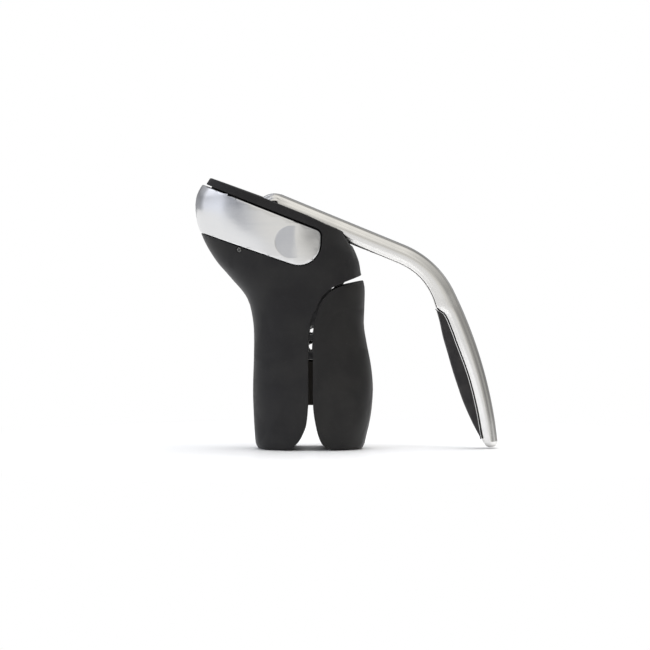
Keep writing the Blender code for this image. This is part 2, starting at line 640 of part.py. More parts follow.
def sleeve(name, inner, outer, bottom, top, middle, half_arc):
    """Part of a tube about the worm's axis, centred on a direction in degrees."""
    def across(radius):
        return [(radius * cos(radians(middle + half_arc * (i / 14 - 1))),
                 radius * sin(radians(middle + half_arc * (i / 14 - 1)))) for i in range(29)]
    bm = bmesh.new()
    loop = [bm.verts.new((x, y, bottom)) for x, y in across(outer) + across(inner)[::-1]]
    face = bm.faces.new(loop)
    lifted = bmesh.ops.extrude_face_region(bm, geom=[face])
    verts = [item for item in lifted["geom"] if isinstance(item, bmesh.types.BMVert)]
    bmesh.ops.translate(bm, vec=(0, 0, top - bottom), verts=verts)
    return object_from(bm, name)


# -------------------------------------------------------------------------------------------- jaw
def make_jaw():
    shell = common(form("jaw_shell"), prism("side", [jaw_outline()], -60, 60))
    hollow = common(form("cavity", WALL), prism("inside", [jaw_outline(WALL)], -60, 60))
    neck_top = SEAT_Z - JAW_SWING_ROOM
    cut(hollow, neck_cylinder("neck_wall", JAW_BORE_RADIUS + BORE_WALL, neck_top))
    channel = box("channel", (-5, CHANNEL_FRONT), (-CHANNEL_HALF, CHANNEL_HALF),
                  (neck_top, HINGE[1] + SHOULDER_RADIUS + 2))
    cut(shell, hollow, neck_cylinder("neck", JAW_BORE_RADIUS, SEAT_Z), channel)
    finish(shell, "charcoal", "jaw")

    ear_out = EAR_Y + 5.4
    foot = (HINGE[0], SEAT_TOP + 1.5)
    backing = box("jaw_backing", (HINGE[0] + 0.5, HINGE[0] + 5.5), (-ear_out, ear_out),
                  (foot[1] - 3, foot[1] + 5))
    for _, sign in sides_of("ear"):
        ear = prism("ear", [bar_outline(foot, HINGE, HINGE_PIN_RADIUS + 1.7)],
                    *mirrored(EAR_Y + 3.4, ear_out, sign))
        join(backing, ear)
    finish(cut(backing, cross_rod("hole", HINGE, -30, 30, HINGE_PIN_RADIUS + CLEAR, 16)), "dark steel", "jaw")

    bracket = box("jaw_bracket", (CHANNEL_FRONT, CHANNEL_FRONT + 5.0), (-FRAME_Y + CLEAR, FRAME_Y - CLEAR),
                  (HINGE[1] - 12, HINGE[1] + 3))
    ear_radius = HINGE_PIN_RADIUS + 2.2
    for _, sign in sides_of("ear"):
        outline = bar_outline((CHANNEL_FRONT + ear_radius, HINGE[1] - 5.0), HINGE, ear_radius)
        join(bracket, prism("ear", [outline], *mirrored(EAR_Y, EAR_Y + 3.0, sign)))
    cut(bracket, cross_rod("hole", HINGE, -30, 30, HINGE_PIN_RADIUS + CLEAR, 16))
    finish(bracket, "dark steel", "casing")
    heights = (LINER_BOTTOM, SEAT_Z - 1)
    pad = sleeve("jaw_pad", NECK_RADIUS, NECK_RADIUS + PAD_THICK, *heights, 0, PAD_HALF_ARC)
    finish(pad, "rubber", "jaw")
    finish(sleeve("neck_liner", NECK_RADIUS, NECK_RADIUS + LINER_THICK, *heights, 180, LINER_HALF_ARC),
           "rubber", "casing")
    pin = cross_rod("jaw_hinge_pin", HINGE, -ear_out - 0.4, ear_out + 0.4, HINGE_PIN_RADIUS, 16)
    finish(pin, "steel", "casing")
    make_spring()


def make_spring():
    """Torsion spring round the jaw's hinge pin, with a leg down the jaw and a leg to the seat."""
    radius, turns, steps, wire_radius = HINGE_PIN_RADIUS + 1.4, 4, 9, 0.6
    lead = 2 * wire_radius + 0.4
    start = -turns * lead / 2
    points = [(HINGE[0] + radius, start, HINGE[1] - 14), (HINGE[0] + radius, start, HINGE[1] - 5)]
    for i in range(turns * steps + 1):
        angle = 2 * pi * i / steps
        points.append((HINGE[0] + radius * cos(angle), start + lead * i / steps,
                       HINGE[1] + radius * sin(angle)))
    points += [(HINGE[0] + radius, -start, HINGE[1] - 4), (HINGE[0] + radius - 1, -start, HINGE[1] - 14)]
    finish(wire("jaw_spring", points, wire_radius), "steel", "casing")


# ------------------------------------------------------------------------------------------ lever
def lever_spine(samples=8):
    """Outer edge of the lever from above its axle to its tip: (x, z, heading in degrees, share).

    The share is -1 along the straight, rises to 0 down the bend, and goes from 0 to 1 down the grip.
    """
    heading = -TOP_TILT
    up = Vector((sin(radians(TOP_TILT)), cos(radians(TOP_TILT))))
    along = Vector((cos(radians(TOP_TILT)), -sin(radians(TOP_TILT))))
    above = Vector(LEVER_AXIS) + up * HUB_RADIUS
    knee = above + along * LEVER_STRAIGHT
    spine = [(above.x, above.y, heading, -1.0), (knee.x, knee.y, heading, -1.0)]
    at = knee
    for radius, turn, steps, gripping in ((BEND_RADIUS, BEND_TURN, samples, False),
                                          (GRIP_RADIUS, GRIP_TURN, 2 * samples, True)):
        for i in range(steps):
            step = turn / steps
            chord = 2 * radius * sin(radians(step / 2))
            heading -= step / 2
            at = at + chord * Vector((cos(radians(heading)), sin(radians(heading))))
            heading -= step / 2
            spine.append((at.x, at.y, heading, (i + 1) / steps if gripping else -(1 - (i + 1) / steps)))
    return spine


def lever_depth(share):
    """Metal thickness under the outer edge: even along the arm, then stepped down where the pad lies."""
    return smooth([(-1.0, LEVER_THICK), (-0.5, 13.2), (0.0, 14.7), (PAD_START, 15.3),
                   (PAD_START + 0.05, 12.3), (0.24, 11.9), (0.33, 12.0), (0.55, 11.0), (0.8, 10.5),
                   (0.94, 10.2), (1.0, 8.8)], share)


def pad_reach(share):
    """Distance of the pad's face under the outer edge: a long lens that runs out at both ends."""
    return smooth([(PAD_START, 15.6), (0.14, 16.8), (0.24, 18.6), (0.33, 19.3), (0.48, 19.8), (0.635, 18.9),
                   (0.72, 17.7), (0.85, 14.4), (0.94, 11.1)], share)


def offset_point(point, depth):
    x, z, heading, _ = point
    return (x + depth * sin(radians(heading)), z - depth * cos(radians(heading)))


def gear_sector():
    """Directions, seen from the lever's axle, that the crank gear passes through as the lever swings."""
    centres = PINION_PITCH + CRANK_PITCH
    gear = CRANK_PITCH + GEAR_MODULE
    half = degrees(acos((centres ** 2 + HUB_RADIUS ** 2 - gear ** 2) / (2 * centres * HUB_RADIUS))) + 3
    return 180 + MESH_ANGLE - LEVER_SWING - half, 180 + MESH_ANGLE + half


def make_lever():
    spine = lever_spine()
    outer = [(x, z) for x, z, _, _ in spine]
    inner = [offset_point(point, lever_depth(point[3])) for point in spine]
    outline = outer + inner[::-1]
    width = (-LEVER_HALF_WIDTH, LEVER_HALF_WIDTH)
    arm = join(prism("lever_arm", [outline], *width), cross_rod("hub", LEVER_AXIS, *width, HUB_RADIUS, 32))
    fork = GEAR_WIDTH / 2 + 0.5
    mouth = [LEVER_AXIS] + arc(LEVER_AXIS, HUB_RADIUS + 2, *gear_sector(), 16)
    cut(arm, cross_rod("fork", LEVER_AXIS, -fork, fork, PINION_PITCH + GEAR_MODULE + 0.5, 32),
        cross_rod("bore", LEVER_AXIS, -20, 20, AXLE_RADIUS + CLEAR), prism("mouth", [mouth], -fork, fork))
    finish(arm, "satin", "lever")

    grip = [point for point in spine if PAD_START <= point[3] <= PAD_END]
    seats = [lever_depth(point[3]) + CLEAR for point in grip]
    seat = [offset_point(point, depth) for point, depth in zip(grip, seats)]
    face = [offset_point(point, max(depth + PAD_LEAST, pad_reach(point[3])))
            for point, depth in zip(grip, seats)]
    finish(prism("grip_pad", [seat + face[::-1]], *width), "rubber", "lever")


# -------------------------------------------------------------------------------- gears and crank
def gear_outline(place, teeth, phase):
    """Straight-flanked teeth with backlash: tips and roots about the pitch circle."""
    pitch = GEAR_MODULE * teeth / 2
    tip, root = pitch + GEAR_MODULE * 0.95, pitch - GEAR_MODULE * 1.25
    half_pitch_angle = (pi * GEAR_MODULE / 2 - GEAR_BACKLASH) / 2 / pitch
    slope = tan(radians(20)) / pitch
    points = []
    for tooth in range(teeth):
        middle = radians(phase) + 2 * pi * tooth / teeth
        for radius, side in ((root, -1), (tip, -1), (tip, 1), (root, 1)):
            angle = middle + side * (half_pitch_angle - (radius - pitch) * slope)
            points.append((place[0] + radius * cos(angle), place[1] + radius * sin(angle)))
    return points


def bar_outline(start, end, radius, steps=8):
    """A flat bar with round ends between two places in XZ."""
    heading = degrees(atan2(end[1] - start[1], end[0] - start[0]))
    return (arc(start, radius, heading + 90, heading + 270, steps)
            + arc(end, radius, heading - 90, heading + 90, steps))


def make_gears():
    half = GEAR_WIDTH / 2
    pinion_phase = MESH_ANGLE + 180
    gear_phase = MESH_ANGLE + 180 / CRANK_TEETH
    pinion = prism("lever_pinion", [gear_outline(LEVER_AXIS, PINION_TEETH, pinion_phase),
                                    circle(LEVER_AXIS, AXLE_RADIUS + CLEAR)], -half, half)
    finish(pinion, "steel", "lever")
    gear = prism("crank_gear", [gear_outline(CRANK_AXIS, CRANK_TEETH, gear_phase)], -half, half)
    hub_reach = CRANK_PLATE_Y - CLEAR
    join(gear, cross_rod("hub", CRANK_AXIS, -hub_reach, hub_reach, CRANK_AXLE_RADIUS + 2.4, 24))
    finish(cut(gear, cross_rod("bore", CRANK_AXIS, -20, 20, CRANK_AXLE_RADIUS + CLEAR)), "steel", "crank")

    hub = CRANK_AXLE_RADIUS + 3.6
    for name, sign in sides_of("crank_plate"):
        limits = mirrored(CRANK_PLATE_Y, CRANK_PLATE_Y + PLATE_THICK, sign)
        plate = prism(name, [bar_outline(CRANK_AXIS, CRANK_PIN, ARM_HALF_WIDTH)], *limits)
        join(plate, cross_rod("boss", CRANK_AXIS, *limits, hub, 24))
        finish(cut(plate, cross_rod("bore", CRANK_AXIS, -20, 20, CRANK_AXLE_RADIUS + CLEAR),
                   cross_rod("pin_hole", CRANK_PIN, -20, 20, PIN_RADIUS + CLEAR, 16)), "dark steel", "crank")
    for name, sign in sides_of("crank_pin"):
        limits = mirrored(CRANK_PLATE_Y + 0.2, LINK_Y + PLATE_THICK + 0.4, sign)
        finish(cross_rod(name, CRANK_PIN, *limits, PIN_RADIUS, 16), "steel", "crank")
    for name, sign in sides_of("link"):
        limits = mirrored(LINK_Y, LINK_Y + PLATE_THICK, sign)
        holes = [circle(CRANK_PIN, PIN_RADIUS + CLEAR, 16), circle(CARRIAGE_PIN, PIN_RADIUS + CLEAR, 16)]
        finish(prism(name, [bar_outline(CARRIAGE_PIN, CRANK_PIN, ARM_HALF_WIDTH - 0.4)] + holes, *limits),
               "dark steel", "link")


def make_carriage():
    bottom, top = CARRIAGE_BOTTOM, CARRIAGE_BOTTOM + CARRIAGE_HEIGHT
    outside = BRACKET_Y + BRACKET_THICK
    block = box("carriage", (-6.0, ROD_AHEAD + CARRIAGE_AHEAD), (-outside, outside), (bottom, top))
    for _, sign in sides_of("bracket"):
        limits = mirrored(BRACKET_Y, outside, sign)
        arm = bar_outline(CARRIAGE_PIN, (-4.0, CARRIAGE_PIN[1] + 2.0), 3.9)
        join(block, prism("bracket", [arm], *limits))
        cut(block, cross_rod("pin_hole", CARRIAGE_PIN, -20, 20, PIN_RADIUS + CLEAR, 16),
            rod("rod_hole", (ROD_AHEAD, sign * ROD_ASIDE, bottom - 1), (ROD_AHEAD, sign * ROD_ASIDE, top + 1),
                ROD_RADIUS + CLEAR, 16))
    cut(block, rod("bearing", (0, 0, bottom - 1), (0, 0, top + 1), SHANK_RADIUS + CLEAR, 20))
    finish(block, "steel", "carriage")
    for name, sign in sides_of("carriage_pin"):
        limits = mirrored(BRACKET_Y + 0.2, LINK_Y + PLATE_THICK + 0.4, sign)
        finish(cross_rod(name, CARRIAGE_PIN, *limits, PIN_RADIUS, 16), "steel", "carriage")
    washer = rod("thrust_washer", (0, 0, top + CLEAR), (0, 0, top + CLEAR + 1.0), SHANK_RADIUS + 2.2, 20)
    cut(washer, rod("bore", (0, 0, top - 1), (0, 0, top + 3), SHANK_RADIUS + CLEAR, 20))
    finish(washer, "acetal", "carriage")


def make_worm():
    """Open helix on a shank; the shank turns in the carriage and a collar keeps it there."""
    tip_z, top_z = SEAT_TOP + 0.6, CARRIAGE_BOTTOM - 3.4
    centre_radius = WORM_RADIUS - WORM_WIRE
    turns = (top_z - tip_z) / WORM_PITCH
    steps = ceil(turns * 10)
    points, shrink = [], []
    for i in range(steps + 1):
        share = i / steps
        angle = radians(WORM_START) + 2 * pi * turns * share
        near_tip, near_top = min(1, share * turns / 0.7), min(1, (1 - share) * turns / 0.5)
        radius = centre_radius * min(0.35 + 0.65 * near_tip, 0.25 + 0.75 * near_top)
        points.append((radius * cos(angle), radius * sin(angle), tip_z + (top_z - tip_z) * share))
        shrink.append(0.2 + 0.8 * near_tip)
    helix = wire("worm", points, WORM_WIRE, shrink)
    top = CARRIAGE_BOTTOM + CARRIAGE_HEIGHT + 3.4
    shoulder = rod("shoulder", (0, 0, top_z - 1.2), (0, 0, CARRIAGE_BOTTOM - CLEAR), SHANK_RADIUS + 1.2, 20)
    shank = rod("shank", (0, 0, top_z - 0.5), (0, 0, top), SHANK_RADIUS, 20)
    finish(join(helix, shoulder, shank), "steel", "worm")
    collar_low = CARRIAGE_BOTTOM + CARRIAGE_HEIGHT + 1.6
    collar = rod("worm_collar", (0, 0, collar_low), (0, 0, collar_low + 1.2), SHANK_RADIUS + 1.6, 20)
    cut(collar, rod("bore", (0, 0, collar_low - 1), (0, 0, top + 1), SHANK_RADIUS + CLEAR, 20))
    finish(collar, "dark steel", "worm")


# ------------------------------------------------------------------------------------ foil cutter
def dimple(sign):
    """Round thumb scoop in a cutter arm, deepest at the rear and running out at the front."""
    x, z = band_place(DIMPLE_PLACE)
    face = sign * (HALF_DEPTH + CUTTER_PROUD)
    tool = rod("dimple", (x, face - sign * DIMPLE_DEPTH, z), (x, face + sign * 6, z), DIMPLE_RADIUS, 32,
               DIMPLE_RADIUS + 0.8)
    tilt = Matrix.Translation(Vector((x, face, z)) * MM) @ Matrix.Rotation(sign * radians(5.0), 4, "Z") \
        @ Matrix.Translation(-Vector((x, face, z)) * MM)
    tool.data.transform(tilt)
    return tool


def make_cutter():
    shell = common(form("foil_cutter_shell", -CUTTER_PROUD), prism("side", [band_outline()], -60, 60))
    cut(shell, form("inside", CUTTER_SKIN - CUTTER_PROUD), dimple(-1), dimple(1))
    finish(shell, "satin", "foil_cutter")

    liner = common(form("foil_cutter_liner", CUTTER_SKIN - CUTTER_PROUD + CLEAR),
                   prism("side", [band_outline(-0.5)], -60, 60))
    cut(liner, core("core", -CLEAR))
    normal = Vector((sin(radians(BAND_TILT)), 0, cos(radians(BAND_TILT))))
    number = 0
    for sign in (-1, 1):
        for x in WHEEL_PLACES:
            number += 1
            centre = Vector((x, sign * WHEEL_INSET, band_place(x)[1]))
            half = WHEEL_THICK / 2
            cut(liner, rod("slot", centre - normal * (half + CLEAR), centre + normal * (half + CLEAR),
                           WHEEL_RADIUS + 0.4, 24),
                rod("pin_hole", centre - normal * 4.3, centre + normal * 4.3, WHEEL_PIN_RADIUS + CLEAR, 12))
            wheel = rod("cutting_wheel_%d" % number, centre - normal * half, centre + normal * half,
                        WHEEL_RADIUS, 24)
            bore = rod("bore", centre - normal * 4, centre + normal * 4, WHEEL_PIN_RADIUS + CLEAR, 12)
            finish(cut(wheel, bore), "steel", "cutting_wheel_%d" % number)
            pin = rod("wheel_pin_%d" % number, centre - normal * 4, centre + normal * 4, WHEEL_PIN_RADIUS, 12)
            finish(pin, "steel", "foil_cutter")
    finish(liner, "nylon", "foil_cutter")


# --------------------------------------------------------------------------------------- assembly
def upright(place):
    return Vector((place[0], 0, place[1]))


def body_pivots():
    pivots = {"casing": Vector((0, 0, 0)), "jaw": upright(HINGE), "lever": upright(LEVER_AXIS),
              "crank": upright(CRANK_AXIS), "link": upright(CRANK_PIN), "carriage": upright(CARRIAGE_PIN),
              "worm": Vector((0, 0, CARRIAGE_BOTTOM)), "foil_cutter": upright(band_place(-30))}
    number = 0
    for sign in (-1, 1):
        for x in WHEEL_PLACES:
            number += 1
            pivots["cutting_wheel_%d" % number] = Vector((x, sign * WHEEL_INSET, band_place(x)[1]))
    return pivots


def copy_of(source, name):
    twin = source.copy()
    twin.data = source.data.copy()
    twin.name = twin.data.name = name
    PARTS.objects.link(twin)
    return twin


def finish(obj, material, body):
    """Shade and colour a piece, and put its origin on its body's joint."""
    bm = bmesh.new()
    bm.from_mesh(obj.data)
    bmesh.ops.dissolve_degenerate(bm, edges=bm.edges, dist=2e-6)
    bm.to_mesh(obj.data)
    bm.free()
    obj.data.materials.clear()
    obj.data.materials.append(MATERIALS[material])
    obj.data.shade_smooth()
    obj.data.set_sharp_from_angle(angle=radians(35))
    obj.data.transform(Matrix.Translation(-PIVOTS[body] * MM))
    obj.parent = BODIES[body]
    FINISHED.append(obj)
    return obj


def make_bodies(assembly):
    bodies = {}
    for name, pivot in PIVOTS.items():
        empty = bpy.data.objects.new("pivot_" + name, None)
        empty.empty_display_size = 0.01
        empty.location = pivot * MM
        empty.parent = assembly
        PARTS.objects.link(empty)
        bodies[name] = empty
    return bodies


def centre_on_origin(assembly):
    """Shift the assembly so that its box is centred in X and stands on z = 0."""
    bpy.context.view_layer.update()
    reach = [(obj.matrix_world @ vertex.co).x for obj in FINISHED for vertex in obj.data.vertices]
    assembly.location.x = -(min(reach) + max(reach)) / 2


clear_scene()
PARTS = bpy.data.collections.new("lever_corkscrew")
bpy.context.scene.collection.children.link(PARTS)
MATERIALS = {name: make_material(name) for name in COLOURS}
PIVOTS = body_pivots()
FINISHED = []
ASSEMBLY = bpy.data.objects.new("assembly", None)
PARTS.objects.link(ASSEMBLY)
BODIES = make_bodies(ASSEMBLY)

make_frame()
make_gears()
make_carriage()
make_worm()
make_lever()
make_jaw()
make_cutter()
make_case_fasteners()
make_case()
centre_on_origin(ASSEMBLY)
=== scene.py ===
"""Looks of the lever corkscrew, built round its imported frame: soft-touch case and jaw, satin lever
and foil cutter, rubber pads, and finishes for the steel and nylon pieces inside.

Lengths are in millimetres, in the design's own frame: the worm's axis is x = 0, y = 0. AXIS_X, read
from the frame, is where that axis stands.
"""
from math import acos, atan2, cos, degrees, hypot, pi, radians, sin, tan

import bpy
from mathutils import Matrix, Vector


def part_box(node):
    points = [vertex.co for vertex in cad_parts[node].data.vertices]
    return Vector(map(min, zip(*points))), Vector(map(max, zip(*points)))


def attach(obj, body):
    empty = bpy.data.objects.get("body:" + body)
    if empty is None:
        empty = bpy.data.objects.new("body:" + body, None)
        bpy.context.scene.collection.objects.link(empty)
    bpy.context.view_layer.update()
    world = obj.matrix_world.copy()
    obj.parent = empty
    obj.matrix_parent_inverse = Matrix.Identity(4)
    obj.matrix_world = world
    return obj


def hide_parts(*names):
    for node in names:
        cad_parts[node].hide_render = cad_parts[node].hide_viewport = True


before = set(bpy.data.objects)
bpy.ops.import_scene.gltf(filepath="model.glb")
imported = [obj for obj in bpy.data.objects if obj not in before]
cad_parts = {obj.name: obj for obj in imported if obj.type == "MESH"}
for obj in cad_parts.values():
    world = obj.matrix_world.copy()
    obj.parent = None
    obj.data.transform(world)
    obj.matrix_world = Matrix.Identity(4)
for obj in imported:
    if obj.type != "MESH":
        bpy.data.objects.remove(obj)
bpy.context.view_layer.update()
bpy.ops.object.select_all(action="DESELECT")

MM = 0.001
NUT_LOW, NUT_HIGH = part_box("worm_nut")
AXIS_X = (NUT_LOW.x + NUT_HIGH.x) / 2

# ------------------------------------------------------------- sizes that the frame's pieces have
CLEAR, SPLIT_GAP, WALL, LEG_FLOOR = 0.3, 0.3, 2.6, 3.0
LEG_TOP, REAR_REACH, FRONT_REACH, NOSE_REACH = 104.0, 37.5, 41.3, 74.7
SECTION_POWER = 2.5
GRIP_GAP_REAR, GRIP_GAP_FRONT, GAP_TOP = 1.2, 2.0, 84.0
TOP_TILT, BAND_TILT = 22.3, 20.2
LINER_BOTTOM, SEAT_Z = 29.0, 58.5
HINGE, SHOULDER_RADIUS, SHOULDER_GAP = (26.2, 85.8), 21.5, 1.6
JAW_SWING_ROOM = 1.3
HALF_DEPTH, CORE_HALF, CHANNEL_HALF, CHANNEL_FRONT = 28.0, 19.0, 16.3, 15.4
NECK_RADIUS, LINER_THICK, PAD_THICK, BORE_WALL = 16.0, 2.0, 2.5, 2.2
BORE_RADIUS, JAW_BORE_RADIUS = 18.3, 18.8
CUTTER_SKIN, CUTTER_PROUD, CORE_NOSE, CORE_MIDDLE = 3.2, 0.4, 6.5, -30.0
WHEEL_INSET, WHEEL_RADIUS, WHEEL_THICK = 20.7, 2.8, 1.0
DIMPLE_RADIUS, DIMPLE_DEPTH, DIMPLE_PLACE = 10.5, 1.7, -12.1
LEVER_AXIS, LEVER_SWING = (-23.305, 153.842), 144.0
LEVER_HALF_WIDTH, LEVER_THICK, LEVER_OFFSET = 7.2, 12.9, 6.8
HUB_RADIUS = LEVER_OFFSET + LEVER_THICK / 2
LEVER_STRAIGHT, BEND_RADIUS, BEND_TURN, GRIP_RADIUS, GRIP_TURN = 86.9, 61.7, 41.4, 298.0, 20.4
PAD_START, PAD_END, PAD_LEAST = 0.06, 0.95, 0.5
AXLE_RADIUS, CRANK_AXIS, GEAR_OUTSIDE, PINION_OUTSIDE = 2.5, (-26.0, 130.9), 16.5, 8.8
FORK_HALF = 4.5
SCREWS = ((-28.0, 16.0), (-28.0, 47.0), (-49.5, 147.0), (24.0, 122.0))
SCREW_RADIUS, BOSS_RADIUS = 1.3, 3.2
CROSS_PIN, CROSS_PIN_RADIUS = (-46.0, 130.3), 1.3

# --------------------------------------------------------------------------- fineness of the looks
FORM_SIDES = 84
EDGE_ROUND = 0.45           # rounding of the moulded edges
BAND_GAP = 0.95             # dark line left round the foil cutter
BAND_ROUND = 0.6            # rounding of the foil cutter's edges
LEVER_CROWN = 1.0           # how far the lever's sides swell
LEVER_CORNERS = (2.6, 2.2)  # rounding of the lever's outer and inner corners
TIP_ROUND = 3.6             # rounding of the lever's tip
HUB_SWEEP, HUB_STEPS = 238.0, 28    # how far round its axle the lever's end is rounded, in degrees
RIB_RELIEF = 0.45           # relief of the linings' upright ribs


# ------------------------------------------------------------------------------- modelling helpers
def at(x, y, z):
    """A point of the design as a place in the frame, in metres."""
    return Vector((x * MM + AXIS_X, y * MM, z * MM))


def only(obj):
    """Makes obj the one selected and active object."""
    bpy.ops.object.select_all(action="DESELECT")
    obj.select_set(True)
    bpy.context.view_layer.objects.active = obj
    return obj


def settle(obj):
    """Puts obj's place into its mesh, so that it stands at the origin."""
    only(obj)
    bpy.ops.object.transform_apply(location=True, rotation=True, scale=True)
    return obj


def outwards(obj):
    """Turns every face of a closed shape outwards."""
    only(obj)
    bpy.ops.object.mode_set(mode="EDIT")
    bpy.ops.mesh.select_all(action="SELECT")
    bpy.ops.mesh.normals_make_consistent(inside=False)
    bpy.ops.object.mode_set(mode="OBJECT")
    return obj


def ring_of(name, places):
    """A filled flat loop through places, each a point in metres."""
    bpy.ops.mesh.primitive_circle_add(vertices=len(places), radius=MM, fill_type="NGON")
    obj = bpy.context.object
    obj.name = obj.data.name = name
    for vertex, place in zip(obj.data.vertices, places):
        vertex.co = place
    return obj


def loft(name, rows):
    """A closed skin through rows of places, filled at both ends."""
    obj = ring_of(name, rows[0])
    bpy.ops.object.mode_set(mode="EDIT")
    bpy.ops.mesh.select_all(action="SELECT")
    for _ in rows[1:]:
        bpy.ops.mesh.extrude_region_move(TRANSFORM_OT_translate={"value": (0, 0, MM)})
    bpy.ops.object.mode_set(mode="OBJECT")
    for vertex, place in zip(obj.data.vertices, [place for row in rows for place in row]):
        vertex.co = place
    return outwards(obj)


def slab(name, outline, low, high):
    """An outline in X and Z, thickened across the object from low to high."""
    obj = ring_of(name, [at(x, low, z) for x, z in outline])
    bpy.ops.object.mode_set(mode="EDIT")
    bpy.ops.mesh.select_all(action="SELECT")
    bpy.ops.mesh.extrude_region_move(TRANSFORM_OT_translate={"value": (0, (high - low) * MM, 0)})
    bpy.ops.object.mode_set(mode="OBJECT")
    return outwards(obj)


def brick(name, x, y, z, tilt=0.0):
    """A box between limits, turned down to the right by tilt degrees about its middle."""
    middle = at(sum(x) / 2, sum(y) / 2, sum(z) / 2)
    bpy.ops.mesh.primitive_cube_add(size=1, location=middle, rotation=(0, radians(tilt), 0))
    obj = bpy.context.object
    obj.name = name
    obj.scale = [(limits[1] - limits[0]) * MM for limits in (x, y, z)]
    return settle(obj)


def bar(name, start, end, radius, sides=48, end_radius=None):
    """A round bar between two points of the design."""
    start, end = at(*start), at(*end)
    turn = Vector((0, 0, 1)).rotation_difference(end - start).to_euler()
    bpy.ops.mesh.primitive_cone_add(vertices=sides, radius1=radius * MM,
                                    radius2=(radius if end_radius is None else end_radius) * MM,
                                    depth=(end - start).length, location=(start + end) / 2, rotation=turn)
    obj = bpy.context.object
    obj.name = name
    return settle(obj)


def cross_bar(name, place, low, high, radius, sides=48):
    return bar(name, (place[0], low, place[1]), (place[0], high, place[1]), radius, sides)


def shape(operation, target, *tools, solver="MANIFOLD"):
    """Cuts, joins or intersects the tools with the target, and removes them."""
    for tool in tools:
        only(target)
        modifier = target.modifiers.new(operation.lower(), "BOOLEAN")
        modifier.operation, modifier.object, modifier.solver = operation, tool, solver
        bpy.ops.object.modifier_apply(modifier=modifier.name)
        bpy.data.objects.remove(tool)
    return target


def cut(target, *tools, solver="MANIFOLD"):
    return shape("DIFFERENCE", target, *tools, solver=solver)


def join(target, *tools, solver="MANIFOLD"):
    return shape("UNION", target, *tools, solver=solver)


def common(target, *tools, solver="MANIFOLD"):
    return shape("INTERSECT", target, *tools, solver=solver)


def twin(source, name):
    """A copy with its own mesh."""
    copy = source.copy()
    copy.data = source.data.copy()
    copy.name = copy.data.name = name
    bpy.context.collection.objects.link(copy)
    return copy


def round_edges(obj, width, segments=2, angle=35):
    """Merges slivers, rounds the sharp edges and shades the piece smooth between them."""
    only(obj)
    bpy.ops.object.mode_set(mode="EDIT")
    bpy.ops.mesh.select_all(action="SELECT")
    bpy.ops.mesh.remove_doubles(threshold=0.08 * MM)
    bpy.ops.object.mode_set(mode="OBJECT")
    modifier = obj.modifiers.new("rounded", "BEVEL")
    modifier.width, modifier.segments = width * MM, segments
    modifier.limit_method, modifier.angle_limit = "ANGLE", radians(angle)
    modifier.use_clamp_overlap = False
    modifier.loop_slide = False
    modifier.harden_normals = False
    bpy.ops.object.modifier_apply(modifier=modifier.name)
    bpy.ops.object.shade_smooth_by_angle(angle=radians(40))
    return obj


def arc(centre, radius, start, end, steps):
    """Points of an arc in XZ, angles in degrees from +X towards +Z."""
    return [(centre[0] + radius * cos(radians(start + (end - start) * i / steps)),
             centre[1] + radius * sin(radians(start + (end - start) * i / steps)))
            for i in range(steps + 1)]


def rounded(corners, steps=16):
    """An outline from (x, z, radius) corners."""
    points = []
    for index, (x, z, radius) in enumerate(corners):
        if radius == 0:
            points.append((x, z))
            continue
        here = Vector((x, z))
        before = (Vector(corners[index - 1][:2]) - here).normalized()
        after = (Vector(corners[(index + 1) % len(corners)][:2]) - here).normalized()
        half = acos(max(-1, min(1, before.dot(after)))) / 2
        centre = here + (before + after).normalized() * radius / sin(half)
        first = here + before * radius / tan(half) - centre
        last = here + after * radius / tan(half) - centre
        begin = atan2(first.y, first.x)
        turn = (atan2(last.y, last.x) - begin + pi) % (2 * pi) - pi
        points += arc(tuple(centre), radius, degrees(begin), degrees(begin + turn), steps)
    return points


def smooth(points, place):
    """Value at a place on the smooth curve through (place, value) points."""
    if place <= points[0][0]:
        return points[0][1]
    if place >= points[-1][0]:
        return points[-1][1]
    index = max(i for i in range(len(points) - 1) if points[i][0] <= place)

    def slope(i):
        low, high = max(i - 1, 0), min(i + 1, len(points) - 1)
        return (points[high][1] - points[low][1]) / (points[high][0] - points[low][0])

    (x0, y0), (x1, y1) = points[index], points[index + 1]
    span = x1 - x0
    t = (place - x0) / span
    return ((2 * t ** 3 - 3 * t ** 2 + 1) * y0 + (t ** 3 - 2 * t ** 2 + t) * span * slope(index)
            + (3 * t ** 2 - 2 * t ** 3) * y1 + (t ** 3 - t ** 2) * span * slope(index + 1))


# --------------------------------------------------------------------------------- the outer form
def rear_edge(z):
    """Distance of the rear and nose outline behind the worm, at a height."""
    legs = [(0.0, 3.5), (0.025, 2.1), (0.05, 1.5), (0.19, 0.6), (0.36, 0.0), (0.58, 0.6), (0.72, 0.7),
            (0.80, 0.1), (0.90, -1.9), (0.96, -4.6)]
    head = [(1, 28.7), (6, 24.2), (11, 19.9), (16, 15.4), (21, 11.7), (31, 5.8), (42, 1.7), (53, 0.0),
            (60, 0.5), (64, 1.9), (68, 4.2), (74, 9.0)]
    points = [(LEG_TOP * share, REAR_REACH - inset) for share, inset in legs]
    points += [(LEG_TOP + rise, NOSE_REACH - inset) for rise, inset in head]
    return smooth(points, z)


def front_edge(z):
    """Distance of the front outline ahead of the worm, at a height."""
    legs = [(0.0, 7.3), (0.02, 5.9), (0.09, 4.0), (0.15, 2.5), (0.25, 0.8), (0.385, 0.0), (0.52, 1.3),
            (0.66, 4.1), (0.77, 5.9), (0.87, 5.7), (1.0, 5.4)]
    head = [(5.3, 6.3), (10.3, 7.9), (18.6, 9.4), (28.6, 13.6), (37.0, 18.7), (74.0, 19.5)]
    points = [(LEG_TOP * share, FRONT_REACH - inset) for share, inset in legs]
    points += [(LEG_TOP + rise, FRONT_REACH - inset) for rise, inset in head]
    return smooth(points, z)


